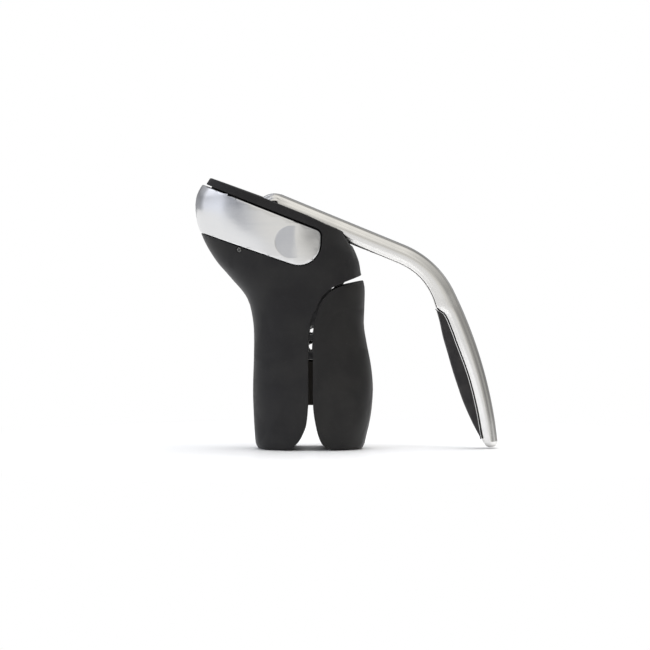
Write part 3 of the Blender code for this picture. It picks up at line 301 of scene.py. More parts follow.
def side_edge(z):
    """Half the depth of the form, at a height."""
    insets = [(0.0, 2.4), (2.6, 1.0), (6.0, 0.3), (20.0, 0.0), (LEG_TOP * 0.6, 0.0), (LEG_TOP, 0.9),
              (LEG_TOP + 22, 0.0), (LEG_TOP + 74, 0.8)]
    return HALF_DEPTH - smooth(insets, z)


def span(z, inset):
    """Middle, half length and half depth of the form's section at a height."""
    back, front = -rear_edge(z) + inset, front_edge(z) - inset
    return (back + front) / 2, (front - back) / 2, side_edge(z) - inset


def form(name, inset=0.0, sides=FORM_SIDES, fine=True):
    """The closed outer form of case and jaw together, drawn in by an inset."""
    levels = [0, 1.0, 1.8, 2.8, 4.2, 6, 9, 13, 18] if fine else [0, 1.2, 3, 6, 14]
    step = 4.0 if fine else 10.0
    while levels[-1] < LEG_TOP + 74:
        bend = 0.6 if LEG_TOP - 8 < levels[-1] < LEG_TOP + 26 or levels[-1] > LEG_TOP + 56 else 1.0
        levels.append(min(levels[-1] + step * bend, LEG_TOP + 74))
    middle, reach, depth = span(levels[0], inset)
    power = 2 / SECTION_POWER
    places = []
    for i in range(sides):
        c, s = cos(2 * pi * i / sides), sin(2 * pi * i / sides)
        places.append(at(middle + reach * abs(c) ** power * (1 if c >= 0 else -1),
                         depth * abs(s) ** power * (1 if s >= 0 else -1), levels[0]))
    obj = ring_of(name, places)
    bpy.ops.object.mode_set(mode="EDIT")
    bpy.ops.mesh.select_all(action="SELECT")
    for low, high in zip(levels, levels[1:]):
        was, now = span(low, inset), span(high, inset)
        bpy.ops.mesh.extrude_region_move(
            TRANSFORM_OT_translate={"value": ((now[0] - was[0]) * MM, 0, (high - low) * MM)})
        bpy.ops.transform.resize(value=(now[1] / was[1], now[2] / was[2], 1),
                                 center_override=at(now[0], 0, high))
    bpy.ops.object.mode_set(mode="OBJECT")
    return outwards(obj)


def top_edge(inset=0.0):
    """The head's top outline from front to nose, lowered by an inset."""
    drop = inset / cos(radians(TOP_TILT))
    points = [(FRONT_REACH - 18.7, 37.0), (-1.6, 48.7), (-31.8, 60.8), (-65.1 + inset, 73.0)]
    return [(x, LEG_TOP + rise - drop) for x, rise in points]


def finer(points, steps=4):
    """A smooth curve through (x, z) points that climb in z."""
    curve = [(z, x) for x, z in points]
    places = []
    for (low, _), (high, _) in zip(curve, curve[1:]):
        places += [low + (high - low) * i / steps for i in range(steps)]
    places.append(curve[-1][0])
    return [(smooth(curve, z), z) for z in places]


def case_outline(inset=0.0):
    """Side outline of the case: rear grip and head."""
    shoulder = arc(HINGE, SHOULDER_RADIUS + SHOULDER_GAP + inset, 165, 101, 30)
    bottom = LEG_FLOOR if inset else -1.0
    edge = [(-13.0, 0.2), (-9.3, 3.3), (-6.3, 7.2), (-4.0, 11.8), (-2.3, 17.0),
            (-GRIP_GAP_REAR, LINER_BOTTOM), (-GRIP_GAP_REAR, GAP_TOP - 24), (-GRIP_GAP_REAR, GAP_TOP - 13.7),
            (-0.6, GAP_TOP - 4.5), (0.4, GAP_TOP + 0.5), (1.7, GAP_TOP + 4.5)]
    outline = [(-NOSE_REACH - 15, bottom), (-13.5 - inset, bottom)]
    outline += [(x - inset, max(z, bottom + 0.01 * i)) for i, (x, z) in enumerate(finer(edge))]
    outline += shoulder
    outline += [(HINGE[0] - 3.6, HINGE[1] + 23.5 + inset), (HINGE[0] + 22, HINGE[1] + 32.9 + inset)]
    outline += [(HINGE[0] + 22, LEG_TOP + 37.0 - inset)]
    outline += top_edge(inset)
    outline += [(-67.8 + inset, LEG_TOP + 68.6 - inset), (-70.0 + inset, LEG_TOP + 50.0),
                (-NOSE_REACH - 15, LEG_TOP + 50.0)]
    return outline


def jaw_outline(inset=0.0):
    """Side outline of the jaw, the front grip."""
    bottom = LEG_FLOOR if inset else -1.0
    edge = [(13.8, 0.2), (9.8, 2.2), (7.4, 4.8), (5.1, 10.4), (3.6, 17.0), (2.5, 23.5),
            (GRIP_GAP_FRONT, LINER_BOTTOM + 1), (GRIP_GAP_FRONT, GAP_TOP - 18),
            (GRIP_GAP_FRONT + 0.5, GAP_TOP - 5), (GRIP_GAP_FRONT + 1.3, GAP_TOP + 0.5)]
    outline = [(14.2 + inset, bottom)]
    outline += [(x + inset, max(z, bottom + 0.01 * i)) for i, (x, z) in enumerate(finer(edge))]
    outline += arc(HINGE, SHOULDER_RADIUS - inset, 170, 101, 30)
    outline += [(HINGE[0] + 22, HINGE[1] + 27.3 - inset), (HINGE[0] + 22, bottom)]
    return outline


def band_outline(grow=0.0):
    """Side outline of the foil cutter, running on past the nose."""
    far = NOSE_REACH + 14
    low_rise, high_rise = tan(radians(18.9)), tan(radians(21.5))
    high = (7.0 + grow, LEG_TOP + 38.2 + grow)
    low = (6.3 + grow, LEG_TOP + 11.1 - grow)
    return rounded([(-far, high[1] + (far + high[0]) * high_rise, 0), (high[0], high[1], 4.5 + grow),
                    (low[0], low[1], 14.0 + grow), (-far, low[1] + (far + low[0]) * low_rise, 0)])


def band_place(x):
    """Point on the foil cutter's middle line."""
    return (x, LEG_TOP + 31.6 - (x + 12) * tan(radians(BAND_TILT)))


def core(name, shrink=0.0):
    """The head's inner block that the foil cutter slides over."""
    sides, heights = (-CORE_HALF + shrink, CORE_HALF - shrink), (LEG_TOP - 20, LEG_TOP + 90)
    nose = common(form(name, CORE_NOSE + shrink, 48, False),
                  brick("nose", (-NOSE_REACH - 20, CORE_MIDDLE + 1), sides, heights))
    return join(nose, brick("block", (CORE_MIDDLE, 60), sides, heights))


def neck(name, radius, top):
    return bar(name, (0, 0, -5), (0, 0, top), radius, 72)


# ------------------------------------------------------------------------------- case, jaw, cutter
def case_hollow():
    """The case's hollow: inside the walls, behind the neck's wall and within the core."""
    hollow = common(form("hollow", WALL, 40, False), slab("inside", case_outline(WALL), -60, 60))
    around_band = cut(slab("around_band", band_outline(WALL + CLEAR), -60, 60), core("core_hollow", WALL))
    return cut(hollow, around_band, neck("neck_wall", BORE_RADIUS + BORE_WALL, SEAT_Z - CLEAR))


def lever_slot():
    """The slot in the head's top that the lever folds into and swings through."""
    half = LEVER_HALF_WIDTH + 1.2
    drop = tan(radians(TOP_TILT))
    heel = (LEVER_AXIS[0] - 11.5, LEVER_AXIS[1] - 9.0)
    under = LEVER_AXIS[1] + (LEVER_OFFSET - LEVER_THICK / 2 - 0.8) / cos(radians(TOP_TILT))
    swing = radians(LEVER_SWING - TOP_TILT)
    end = (heel[0] + 40 * cos(swing), heel[1] + 40 * sin(swing))
    outline = [heel, (heel[0] + 24, heel[1]), (heel[0] + 30, under - 18.5 * drop),
               (60.0, under - (60 - LEVER_AXIS[0]) * drop), (60.0, LEG_TOP + 90), (end[0] - 3, LEG_TOP + 90),
               (end[0] - 3, end[1])]
    return slab("lever_slot", outline, -half, half)


def screw_head(place):
    """Distance from the middle plane at which a case screw's head rests."""
    if place[0] < CROSS_PIN[0] + 1:
        return CORE_HALF - 3.6
    middle, reach, depth = span(place[1], 0)
    share = abs(place[0] - middle) / reach
    return depth * (1 - share ** SECTION_POWER) ** (1 / SECTION_POWER) - 4.5


def make_case():
    """Both case halves, split on the middle plane, with bosses, counterbores and rounded edges."""
    whole = common(form("case"), slab("side", case_outline(), -60, 60))
    cut(whole, case_hollow())
    cut(whole, cut(slab("band_pocket", band_outline(BAND_GAP), -60, 60), core("core")))
    channel = brick("channel", (-REAR_REACH + 7, CHANNEL_FRONT), (-CHANNEL_HALF, CHANNEL_HALF),
                    (SEAT_Z - CLEAR, HINGE[1] + SHOULDER_RADIUS + SHOULDER_GAP + 4))
    cut(whole, neck("neck", BORE_RADIUS, SEAT_Z), channel, lever_slot())
    rib = (arc(HINGE, SHOULDER_RADIUS + 0.45, 101, 118.5, 16)
           + arc(HINGE, SHOULDER_RADIUS + SHOULDER_GAP + 1.2, 115.5, 101, 16))
    join(whole, slab("gap_rib", rib, -6, 6))
    for place in SCREWS:
        in_core = place[0] < CROSS_PIN[0] + 1
        reach = CORE_HALF if in_core else side_edge(place[1]) - 1.0
        boss = common(cross_bar("boss", place, -reach + 0.5, reach - 0.5, BOSS_RADIUS, 32),
                      form("limits", CORE_NOSE + 0.4 if in_core else 0.4, 40, False))
        join(whole, boss)
        head_at = screw_head(place)
        cut(whole, cross_bar("hole", place, -head_at + 4.0, head_at + 0.1, SCREW_RADIUS + CLEAR, 24),
            cross_bar("counterbore", place, head_at, HALF_DEPTH + 5, SCREW_RADIUS * 2 + CLEAR, 32))
    cut(whole, cross_bar("pin_hole", CROSS_PIN, -60, 60, CROSS_PIN_RADIUS + CLEAR, 32))
    x, z = band_place(-36)
    for sign in (-1, 1):
        groove = sorted((sign * (WHEEL_INSET - WHEEL_RADIUS - CLEAR - 0.1), sign * (CORE_HALF + 1)))
        half = WHEEL_THICK / 2 + 0.5
        cut(whole, brick("groove", (x - 54, x + 36.5), groove, (z - half, z + half), BAND_TILT))
    made = []
    for name, sign in (("near", -1), ("far", 1)):
        half = brick("half", (-120, 120), sorted((sign * SPLIT_GAP / 2, sign * 60)), (-5, LEG_TOP + 100))
        made.append(round_edges(common(twin(whole, "case_half_" + name), half), EDGE_ROUND))
    bpy.data.objects.remove(whole)
    return made


def make_jaw():
    """The front grip's shell."""
    shell = common(form("jaw_grip"), slab("side", jaw_outline(), -60, 60))
    hollow = common(form("hollow", WALL, 40, False), slab("inside", jaw_outline(WALL), -60, 60))
    neck_top = SEAT_Z - JAW_SWING_ROOM
    cut(hollow, neck("neck_wall", JAW_BORE_RADIUS + BORE_WALL, neck_top))
    channel = brick("channel", (-5, CHANNEL_FRONT), (-CHANNEL_HALF, CHANNEL_HALF),
                    (neck_top, HINGE[1] + SHOULDER_RADIUS + 2))
    cut(shell, hollow, neck("neck", JAW_BORE_RADIUS, SEAT_Z), channel)
    return round_edges(shell, EDGE_ROUND)


def dimple(sign):
    """Round thumb scoop in a cutter arm: a steep wall at the rear, running out level at the front."""
    x, z = band_place(DIMPLE_PLACE)
    face = sign * (HALF_DEPTH + CUTTER_PROUD)
    tool = bar("dimple", (x, face - sign * DIMPLE_DEPTH * 0.5, z), (x, face + sign * 6, z), DIMPLE_RADIUS, 96,
               DIMPLE_RADIUS + 0.9)
    middle = at(x, face, z)
    turn = Matrix.Rotation(radians(BAND_TILT), 4, "Y") @ Matrix.Rotation(sign * radians(6.0), 4, "Z")
    tool.data.transform(Matrix.Translation(middle) @ turn @ Matrix.Translation(-middle))
    return tool


def make_cutter():
    """The foil cutter's satin skin: a U round the nose with a rounded end and a thumb scoop each side."""
    shell = common(form("foil_cutter_skin", -CUTTER_PROUD), slab("side", band_outline(), -60, 60))
    cut(shell, form("inside", CUTTER_SKIN - CUTTER_PROUD, 64, False))
    cut(round_edges(shell, BAND_ROUND, 3, 28), dimple(-1), dimple(1))
    only(shell)
    bpy.ops.object.shade_smooth_by_angle(angle=radians(28))
    return shell


# ------------------------------------------------------------------------------------------ lever
def lever_spine(samples=20):
    """Outer edge of the lever from above its axle to its tip: (x, z, heading, share of bend or grip)."""
    heading = -TOP_TILT
    up = Vector((sin(radians(TOP_TILT)), cos(radians(TOP_TILT))))
    along = Vector((cos(radians(TOP_TILT)), -sin(radians(TOP_TILT))))
    above = Vector(LEVER_AXIS) + up * HUB_RADIUS
    spine = [(*(above + along * LEVER_STRAIGHT * i / 12), heading, -1.0) for i in range(13)]
    place = above + along * LEVER_STRAIGHT
    for radius, turn, steps, gripping in ((BEND_RADIUS, BEND_TURN, samples, False),
                                          (GRIP_RADIUS, GRIP_TURN, 2 * samples, True)):
        for i in range(steps):
            step = turn / steps
            chord = 2 * radius * sin(radians(step / 2))
            heading -= step / 2
            place = place + chord * Vector((cos(radians(heading)), sin(radians(heading))))
            heading -= step / 2
            spine.append((place.x, place.y, heading, (i + 1) / steps if gripping else -(1 - (i + 1) / steps)))
    return spine


def lever_depth(share):
    """Metal thickness under the outer edge: even along the arm, then stepped down where the pad lies."""
    return smooth([(-1.0, LEVER_THICK), (-0.5, 13.2), (0.0, 14.7), (PAD_START, 15.3),
                   (PAD_START + 0.05, 12.3), (0.24, 11.9), (0.33, 12.0), (0.55, 11.0), (0.8, 10.5),
                   (0.94, 10.2), (1.0, 8.8)], share)


def pad_reach(share):
    """Distance of the pad's face under the outer edge: a long lens that runs out at both ends."""
    return smooth([(PAD_START, 15.6), (0.14, 16.8), (0.24, 18.6), (0.33, 19.3), (0.48, 19.8), (0.635, 18.9),
                   (0.72, 17.7), (0.85, 14.4), (0.94, 11.1)], share)


def below(point, depth):
    """A place under the spine's outer edge, square to it."""
    x, z, heading, _ = point
    return (x + depth * sin(radians(heading)), z - depth * cos(radians(heading)))


def lever_section(depth):
    """Half section of the lever as (depth, y) from the outer edge to the inner one, then mirrored.

    The sides are crowned and the corners rounded, so that long reflections run down the lever.
    """
    half = []
    corner_out, corner_in = LEVER_CORNERS
    for i in range(6):
        turn = radians(90 * i / 5)
        half.append((corner_out * (1 - cos(turn)),
                     LEVER_HALF_WIDTH - LEVER_CROWN - corner_out * (1 - sin(turn))))
    for i in range(1, 8):
        share = i / 8
        bulge = sin(pi * share) ** 0.8
        place = corner_out + (depth - corner_out - corner_in) * share
        half.append((place, LEVER_HALF_WIDTH - LEVER_CROWN + LEVER_CROWN * bulge))
    for i in range(6):
        turn = radians(90 * i / 5)
        half.append((depth - corner_in * (1 - sin(turn)),
                     LEVER_HALF_WIDTH - LEVER_CROWN - corner_in * (1 - cos(turn))))
    return half + [(d, -y) for d, y in reversed(half)]


def make_lever():
    """Die-cast lever: a crowned bar lofted down its bend, a round forked hub and a rounded tip."""
    spine = lever_spine()
    tip = spine[-1]
    rows = []
    for i in range(HUB_STEPS):
        heading = HUB_SWEEP * (1 - i / HUB_STEPS) - TOP_TILT
        turned = radians(heading)
        rows.append(((LEVER_AXIS[0] - HUB_RADIUS * sin(turned), LEVER_AXIS[1] + HUB_RADIUS * cos(turned),
                      heading, -1.0), HUB_RADIUS - 4.2, 0.0))
    rows += [(point, lever_depth(point[3]), 0.0) for point in spine[:-1]]
    for i in range(7):
        turn = radians(90 * i / 6)
        advance, shrink = TIP_ROUND * sin(turn), TIP_ROUND * (1 - cos(turn))
        heading = tip[2]
        place = (tip[0] + (advance - TIP_ROUND + 0.9) * cos(radians(heading)),
                 tip[1] + (advance - TIP_ROUND + 0.9) * sin(radians(heading)), heading, 1.0)
        rows.append((place, lever_depth(1.0), shrink))
    obj = loft("lever_bar", [section_places(row) for row in rows])
    hub = cross_bar("hub", LEVER_AXIS, 0.9 - LEVER_HALF_WIDTH, LEVER_HALF_WIDTH - 0.9, HUB_RADIUS - 2.6, 72)
    join(obj, hub)
    centres, gear = GEAR_OUTSIDE - 1.1 + 7.7, GEAR_OUTSIDE
    half = degrees(acos((centres ** 2 + HUB_RADIUS ** 2 - gear ** 2) / (2 * centres * HUB_RADIUS))) + 3
    mesh_angle = degrees(atan2(LEVER_AXIS[1] - CRANK_AXIS[1], LEVER_AXIS[0] - CRANK_AXIS[0]))
    mouth = [LEVER_AXIS] + arc(LEVER_AXIS, HUB_RADIUS + 2, 180 + mesh_angle - LEVER_SWING - half,
                               180 + mesh_angle + half, 40)
    cut(obj, cross_bar("fork", LEVER_AXIS, -FORK_HALF, FORK_HALF, PINION_OUTSIDE + 0.5, 64),
        cross_bar("bore", LEVER_AXIS, -20, 20, AXLE_RADIUS + CLEAR),
        slab("mouth", mouth, -FORK_HALF, FORK_HALF))
    only(obj)
    bpy.ops.object.shade_smooth_by_angle(angle=radians(38))
    return obj


def section_places(row):
    """The lever's section at a row of its loft, as places in metres."""
    point, depth, shrink = row
    places = []
    for d, y in lever_section(depth):
        middle = depth / 2
        d = middle + (d - middle) * (1 - shrink / middle * 0.98)
        y = y * (1 - shrink / LEVER_HALF_WIDTH * 0.98)
        x, z = below(point, d)
        places.append(at(x, y, z))
    return places


def make_grip_pad():
    """Rubber pad in the lever's inner side: a crowned lens that runs out at both ends."""
    spine = [point for point in lever_spine(50) if PAD_START <= point[3] <= PAD_END]
    count = 24
    rows = []
    for point in spine:
        low = lever_depth(point[3]) + CLEAR
        thick = max(PAD_LEAST, pad_reach(point[3]) - low)
        row = []
        for i in range(count):
            turn = 2 * pi * i / count
            c, s = cos(turn), sin(turn)
            across = (LEVER_HALF_WIDTH - 0.05) * abs(c) ** 0.55 * (1 if c >= 0 else -1)
            depth = low + thick * (0.5 + 0.5 * abs(s) ** 0.6 * (1 if s >= 0 else -1))
            x, z = below(point, depth)
            row.append(at(x, across, z))
        rows.append(row)
    obj = loft("grip_cushion", rows)
    only(obj)
    bpy.ops.object.shade_smooth_by_angle(angle=radians(50))
    return obj


# ------------------------------------------------------------------------------- linings of the neck
def make_sleeve(name, inner, outer, bottom, top, middle, half_arc, ribs):
    """Part of a rubber tube about the worm's axis, with upright ribs on its inner side."""
    steps = ribs * 6
    inside, outside = [], []
    for i in range(steps + 1):
        turn = radians(middle + half_arc * (2 * i / steps - 1))
        bump = 0.0 if i in (0, steps) else RIB_RELIEF * (0.5 + 0.5 * cos(2 * pi * i / 6)) ** 2
        face = inner + RIB_RELIEF - bump
        inside.append((face * cos(turn), face * sin(turn)))
        outside.append((outer * cos(turn), outer * sin(turn)))
    obj = ring_of(name, [at(x, y, bottom) for x, y in outside + inside[::-1]])
    bpy.ops.object.mode_set(mode="EDIT")
    bpy.ops.mesh.select_all(action="SELECT")
    bpy.ops.mesh.extrude_region_move(TRANSFORM_OT_translate={"value": (0, 0, (top - bottom) * MM)})
    bpy.ops.object.mode_set(mode="OBJECT")
    outwards(obj)
    return round_edges(obj, 0.35, 2, 50)


# ------------------------------------------------------------------------------- shader node groups
def new_group(name, inputs, outputs):
    """An empty shader group with named sockets: (name, kind, default)."""
    group = bpy.data.node_groups.new(name, "ShaderNodeTree")
    for label, kind, default in inputs:
        socket = group.interface.new_socket(label, in_out="INPUT", socket_type=kind)
        socket.default_value = default
    for label, kind in outputs:
        group.interface.new_socket(label, in_out="OUTPUT", socket_type=kind)
    return group, group.nodes.new("NodeGroupInput"), group.nodes.new("NodeGroupOutput")


def node(tree, kind, links=None, **values):
    """A node with its properties set, and its inputs linked or given values."""
    made = tree.nodes.new(kind)
    for key, value in values.items():
        setattr(made, key, value)
    for key, value in (links or {}).items():
        if isinstance(value, bpy.types.NodeSocket):
            tree.links.new(value, made.inputs[key])
        else:
            made.inputs[key].default_value = value
    return made


def math(tree, operation, first, second=0.0, clamp=False):
    made = node(tree, "ShaderNodeMath", {0: first, 1: second}, operation=operation, use_clamp=clamp)
    return made.outputs[0]


def ramp(tree, value, low, high, to_low=0.0, to_high=1.0):
    """Value spread from one range to another, smoothly."""
    return node(tree, "ShaderNodeMapRange", {0: value, 1: low, 2: high, 3: to_low, 4: to_high},
                interpolation_type="SMOOTHSTEP").outputs[0]


def mix_colour(tree, share, first, second, blend="MIX"):
    return node(tree, "ShaderNodeMix", {0: share, 6: first, 7: second}, data_type="RGBA",
                blend_type=blend).outputs[2]


def make_grain():
    """Fine moulded texture: pebbles over a softer cloud. Gives a height and a slow mask."""
    group, start, end = new_group("moulded_grain", [("Pebble", "NodeSocketFloat", 2400.0),
                                                    ("Cloud", "NodeSocketFloat", 60.0)],
                                  [("Height", "NodeSocketFloat"), ("Mask", "NodeSocketFloat")])
    place = group.nodes.new("ShaderNodeTexCoord").outputs["Object"]
    pebble = node(group, "ShaderNodeTexVoronoi", {"Vector": place, "Scale": start.outputs[0]},
                  feature="SMOOTH_F1")
    speck = node(group, "ShaderNodeTexNoise", {"Vector": place, "Scale": start.outputs[0], "Detail": 3.0})
    cloud = node(group, "ShaderNodeTexNoise", {"Vector": place, "Scale": start.outputs[1], "Detail": 4.0})
    height = math(group, "ADD", pebble.outputs["Distance"], speck.outputs[0])
    group.links.new(height, end.inputs[0])
    group.links.new(ramp(group, cloud.outputs[0], 0.35, 0.68), end.inputs[1])
    return group


def make_edges():
    """Worn edges: where the surface turns away within a short distance, broken up by noise."""
    group, start, end = new_group("edge_wear", [("Break", "NodeSocketFloat", 900.0),
                                                ("Amount", "NodeSocketFloat", 1.0)],
                                  [("Mask", "NodeSocketFloat")])
    bevel = node(group, "ShaderNodeBevel", {"Radius": 0.7 * MM}, samples=4)
    normal = group.nodes.new("ShaderNodeNewGeometry").outputs["Normal"]
    turned = node(group, "ShaderNodeVectorMath", {0: bevel.outputs[0], 1: normal}, operation="DOT_PRODUCT")
    place = group.nodes.new("ShaderNodeTexCoord").outputs["Object"]
    noise = node(group, "ShaderNodeTexNoise", {"Vector": place, "Scale": start.outputs[0], "Detail": 3.0})
    edge = ramp(group, turned.outputs["Value"], 0.995, 0.90)
    broken = math(group, "MULTIPLY", edge, ramp(group, noise.outputs[0], 0.35, 0.6))
    group.links.new(math(group, "MULTIPLY", broken, start.outputs[1], True), end.inputs[0])
    return group


def make_dust():
    """Sparse lint and finger smears: a mask of fine specks and one of slow smears."""
    group, start, end = new_group("dust_and_smears", [("Speck", "NodeSocketFloat", 700.0),
                                                      ("Smear", "NodeSocketFloat", 35.0)],
                                  [("Specks", "NodeSocketFloat"), ("Smears", "NodeSocketFloat")])
    place = group.nodes.new("ShaderNodeTexCoord").outputs["Object"]
    speck = node(group, "ShaderNodeTexVoronoi", {"Vector": place, "Scale": start.outputs[0]})
    smear = node(group, "ShaderNodeTexNoise", {"Vector": place, "Scale": start.outputs[1], "Detail": 5.0,
                                               "Distortion": 1.4})
    group.links.new(ramp(group, speck.outputs["Distance"], 0.12, 0.04), end.inputs[0])
    group.links.new(ramp(group, smear.outputs[0], 0.42, 0.66), end.inputs[1])
    return group


def make_brushing():
    """Satin streaks along a direction: very long thin noise, turned about Y."""
    group, start, end = new_group("satin_streaks", [("Place", "NodeSocketVector", (0, 0, 0)),
                                                    ("Fine", "NodeSocketFloat", 5200.0),
                                                    ("Coarse", "NodeSocketFloat", 900.0)],
                                  [("Height", "NodeSocketFloat"), ("Mask", "NodeSocketFloat")])
    fine = node(group, "ShaderNodeTexNoise", {"Vector": start.outputs[0], "Scale": start.outputs[1],
                                              "Detail": 2.0})
    coarse = node(group, "ShaderNodeTexNoise", {"Vector": start.outputs[0], "Scale": start.outputs[2],
                                                "Detail": 3.0})
    group.links.new(fine.outputs[0], end.inputs[0])
    group.links.new(coarse.outputs[0], end.inputs[1])
    return group


GRAIN, EDGES, DUST, STREAKS = make_grain(), make_edges(), make_dust(), make_brushing()


def place_group(tree, group, **values):
    return node(tree, "ShaderNodeGroup", values, node_tree=group)


def new_material(name, **sockets):
    """A Principled material with constant socket values."""
    material = bpy.data.materials.new(name)
    material.use_nodes = True
    shader = material.node_tree.nodes["Principled BSDF"]
    for key, value in sockets.items():
        shader.inputs[key.replace("_", " ")].default_value = value
    return material, material.node_tree, shader


def bumped(tree, shader, height, strength, distance):
    bump = node(tree, "ShaderNodeBump", {"Height": height, "Strength": strength, "Distance": distance})
    tree.links.new(bump.outputs[0], shader.inputs["Normal"])


def soft_touch(name, deep, pale, worn, rough=(0.46, 0.60)):
    """Soft-touch moulded plastic: fine pebble, slow shade changes, smears and paler worn edges."""
    material, tree, shader = new_material(name, Specular_IOR_Level=0.24, Sheen_Weight=0.03,
                                          Sheen_Roughness=0.5)
    grain = place_group(tree, GRAIN, Pebble=2600.0, Cloud=48.0)
    dust = place_group(tree, DUST, Speck=620.0, Smear=38.0)
    edges = place_group(tree, EDGES, Break=1100.0, Amount=0.75)
    colour = mix_colour(tree, grain.outputs["Mask"], deep, pale)
    lint = math(tree, "MULTIPLY", dust.outputs["Specks"], 0.10)
    colour = mix_colour(tree, lint, colour, (0.30, 0.29, 0.28, 1))
    colour = mix_colour(tree, math(tree, "MULTIPLY", edges.outputs[0], 0.5), colour, worn)
    tree.links.new(colour, shader.inputs["Base Color"])
    tree.links.new(ramp(tree, dust.outputs["Smears"], 0, 1, *rough), shader.inputs["Roughness"])
    bumped(tree, shader, grain.outputs["Height"], 0.22, 0.03 * MM)
    return material


def satin(name, colour, darker, along, rough=(0.24, 0.36), turn=0.0, wear=0.25):
    """Satin metal: streaks stretched along a direction or along the piece's own length."""
    material, tree, shader = new_material(name, Metallic=1.0, Anisotropic=0.35)
    if along == "length":
        place = node(tree, "ShaderNodeAttribute", attribute_name="lever_place").outputs["Vector"]
        mapping = node(tree, "ShaderNodeMapping", {"Vector": place})
    else:
        place = tree.nodes.new("ShaderNodeTexCoord").outputs["Object"]
        mapping = node(tree, "ShaderNodeMapping", {"Vector": place, "Rotation": (0, turn, 0)})
    mapping.inputs["Scale"].default_value = (0.012, 1, 1)
    streaks = place_group(tree, STREAKS, Place=mapping.outputs[0], Fine=5200.0, Coarse=800.0)
    dust = place_group(tree, DUST, Speck=500.0, Smear=30.0)
    edges = place_group(tree, EDGES, Break=700.0, Amount=0.5)
    shade = mix_colour(tree, ramp(tree, streaks.outputs["Mask"], 0.3, 0.7), darker, colour)
    shade = mix_colour(tree, math(tree, "MULTIPLY", edges.outputs[0], wear), shade, (0.92, 0.92, 0.92, 1))
    tree.links.new(shade, shader.inputs["Base Color"])
    blend = math(tree, "MULTIPLY", math(tree, "ADD", streaks.outputs["Mask"], dust.outputs["Smears"]), 0.5)
    tree.links.new(ramp(tree, blend, 0.15, 0.85, *rough), shader.inputs["Roughness"])
    bumped(tree, shader, streaks.outputs["Height"], 0.04, 0.02 * MM)
    return material


def rubber(name, deep, pale):
    """Dull rubber: coarser pebble, sparse dust specks and no shine."""
    material, tree, shader = new_material(name, Specular_IOR_Level=0.22, Sheen_Weight=0.06,
                                          Sheen_Roughness=0.6)
    grain = place_group(tree, GRAIN, Pebble=1500.0, Cloud=90.0)
    dust = place_group(tree, DUST, Speck=900.0, Smear=60.0)
    colour = mix_colour(tree, grain.outputs["Mask"], deep, pale)
    lint = math(tree, "MULTIPLY", dust.outputs["Specks"], 0.18)
    colour = mix_colour(tree, lint, colour, (0.25, 0.24, 0.22, 1))
    tree.links.new(colour, shader.inputs["Base Color"])
    tree.links.new(ramp(tree, dust.outputs["Smears"], 0, 1, 0.62, 0.8), shader.inputs["Roughness"])
    bumped(tree, shader, grain.outputs["Height"], 0.45, 0.06 * MM)
    return material


def steel(name, colour, darker, rough, scratch=0.15):
    """Turned or rolled steel: slow stains, fine marks and brighter edges."""
    material, tree, shader = new_material(name, Metallic=1.0)
    grain = place_group(tree, GRAIN, Pebble=3600.0, Cloud=160.0)
    dust = place_group(tree, DUST, Speck=1300.0, Smear=120.0)
    edges = place_group(tree, EDGES, Break=1500.0, Amount=0.9)
    shade = mix_colour(tree, grain.outputs["Mask"], darker, colour)
    shade = mix_colour(tree, math(tree, "MULTIPLY", edges.outputs[0], 0.8), shade, (0.78, 0.77, 0.75, 1))
    tree.links.new(shade, shader.inputs["Base Color"])
    tree.links.new(ramp(tree, dust.outputs["Smears"], 0, 1, *rough), shader.inputs["Roughness"])
    bumped(tree, shader, grain.outputs["Height"], scratch, 0.02 * MM)
    return material


def moulded(name, colour, darker, rough):
    """Plain engineering plastic: faint flow marks and a fine matt grain."""
    material, tree, shader = new_material(name, Specular_IOR_Level=0.5)
    grain = place_group(tree, GRAIN, Pebble=3000.0, Cloud=110.0)
    edges = place_group(tree, EDGES, Break=1400.0, Amount=0.5)
    shade = mix_colour(tree, grain.outputs["Mask"], darker, colour)
    shade = mix_colour(tree, math(tree, "MULTIPLY", edges.outputs[0], 0.35), shade, (0.8, 0.79, 0.76, 1))
    tree.links.new(shade, shader.inputs["Base Color"])
    tree.links.new(ramp(tree, grain.outputs["Mask"], 0, 1, *rough), shader.inputs["Roughness"])
    bumped(tree, shader, grain.outputs["Height"], 0.18, 0.03 * MM)
    return material


FINISHES = {
    "case_plastic": soft_touch("charcoal_case", (0.0082, 0.0078, 0.0086, 1), (0.0122, 0.0118, 0.0118, 1),
                               (0.07, 0.07, 0.068, 1)),
    "jaw_plastic": soft_touch("charcoal_jaw", (0.0085, 0.0080, 0.0080, 1), (0.0128, 0.0122, 0.0116, 1),
                              (0.07, 0.07, 0.068, 1)),
    "neck_rubber": rubber("neck_rubber", (0.030, 0.026, 0.022, 1), (0.045, 0.040, 0.035, 1)),
    "grip_rubber": rubber("grip_rubber", (0.016, 0.015, 0.016, 1), (0.024, 0.022, 0.022, 1)),
    "lever_metal": satin("satin_lever", (0.72, 0.71, 0.69, 1), (0.68, 0.675, 0.665, 1), "length",
                         (0.17, 0.24)),
    "cutter_metal": satin("satin_cutter", (0.76, 0.76, 0.765, 1), (0.74, 0.745, 0.755, 1), "straight",
                          (0.19, 0.25), radians(-BAND_TILT), 0.0),
    "inner_nylon": moulded("nylon", (0.050, 0.048, 0.046, 1), (0.036, 0.035, 0.034, 1), (0.5, 0.62)),
    "bearing_plastic": moulded("acetal", (0.74, 0.73, 0.69, 1), (0.66, 0.65, 0.60, 1), (0.35, 0.48)),
    "frame_steel": steel("blacked_steel", (0.075, 0.075, 0.078, 1), (0.05, 0.05, 0.052, 1), (0.4, 0.55)),
    "bright_steel": steel("bright_steel", (0.66, 0.65, 0.63, 1), (0.50, 0.50, 0.49, 1), (0.16, 0.34), 0.08),
}


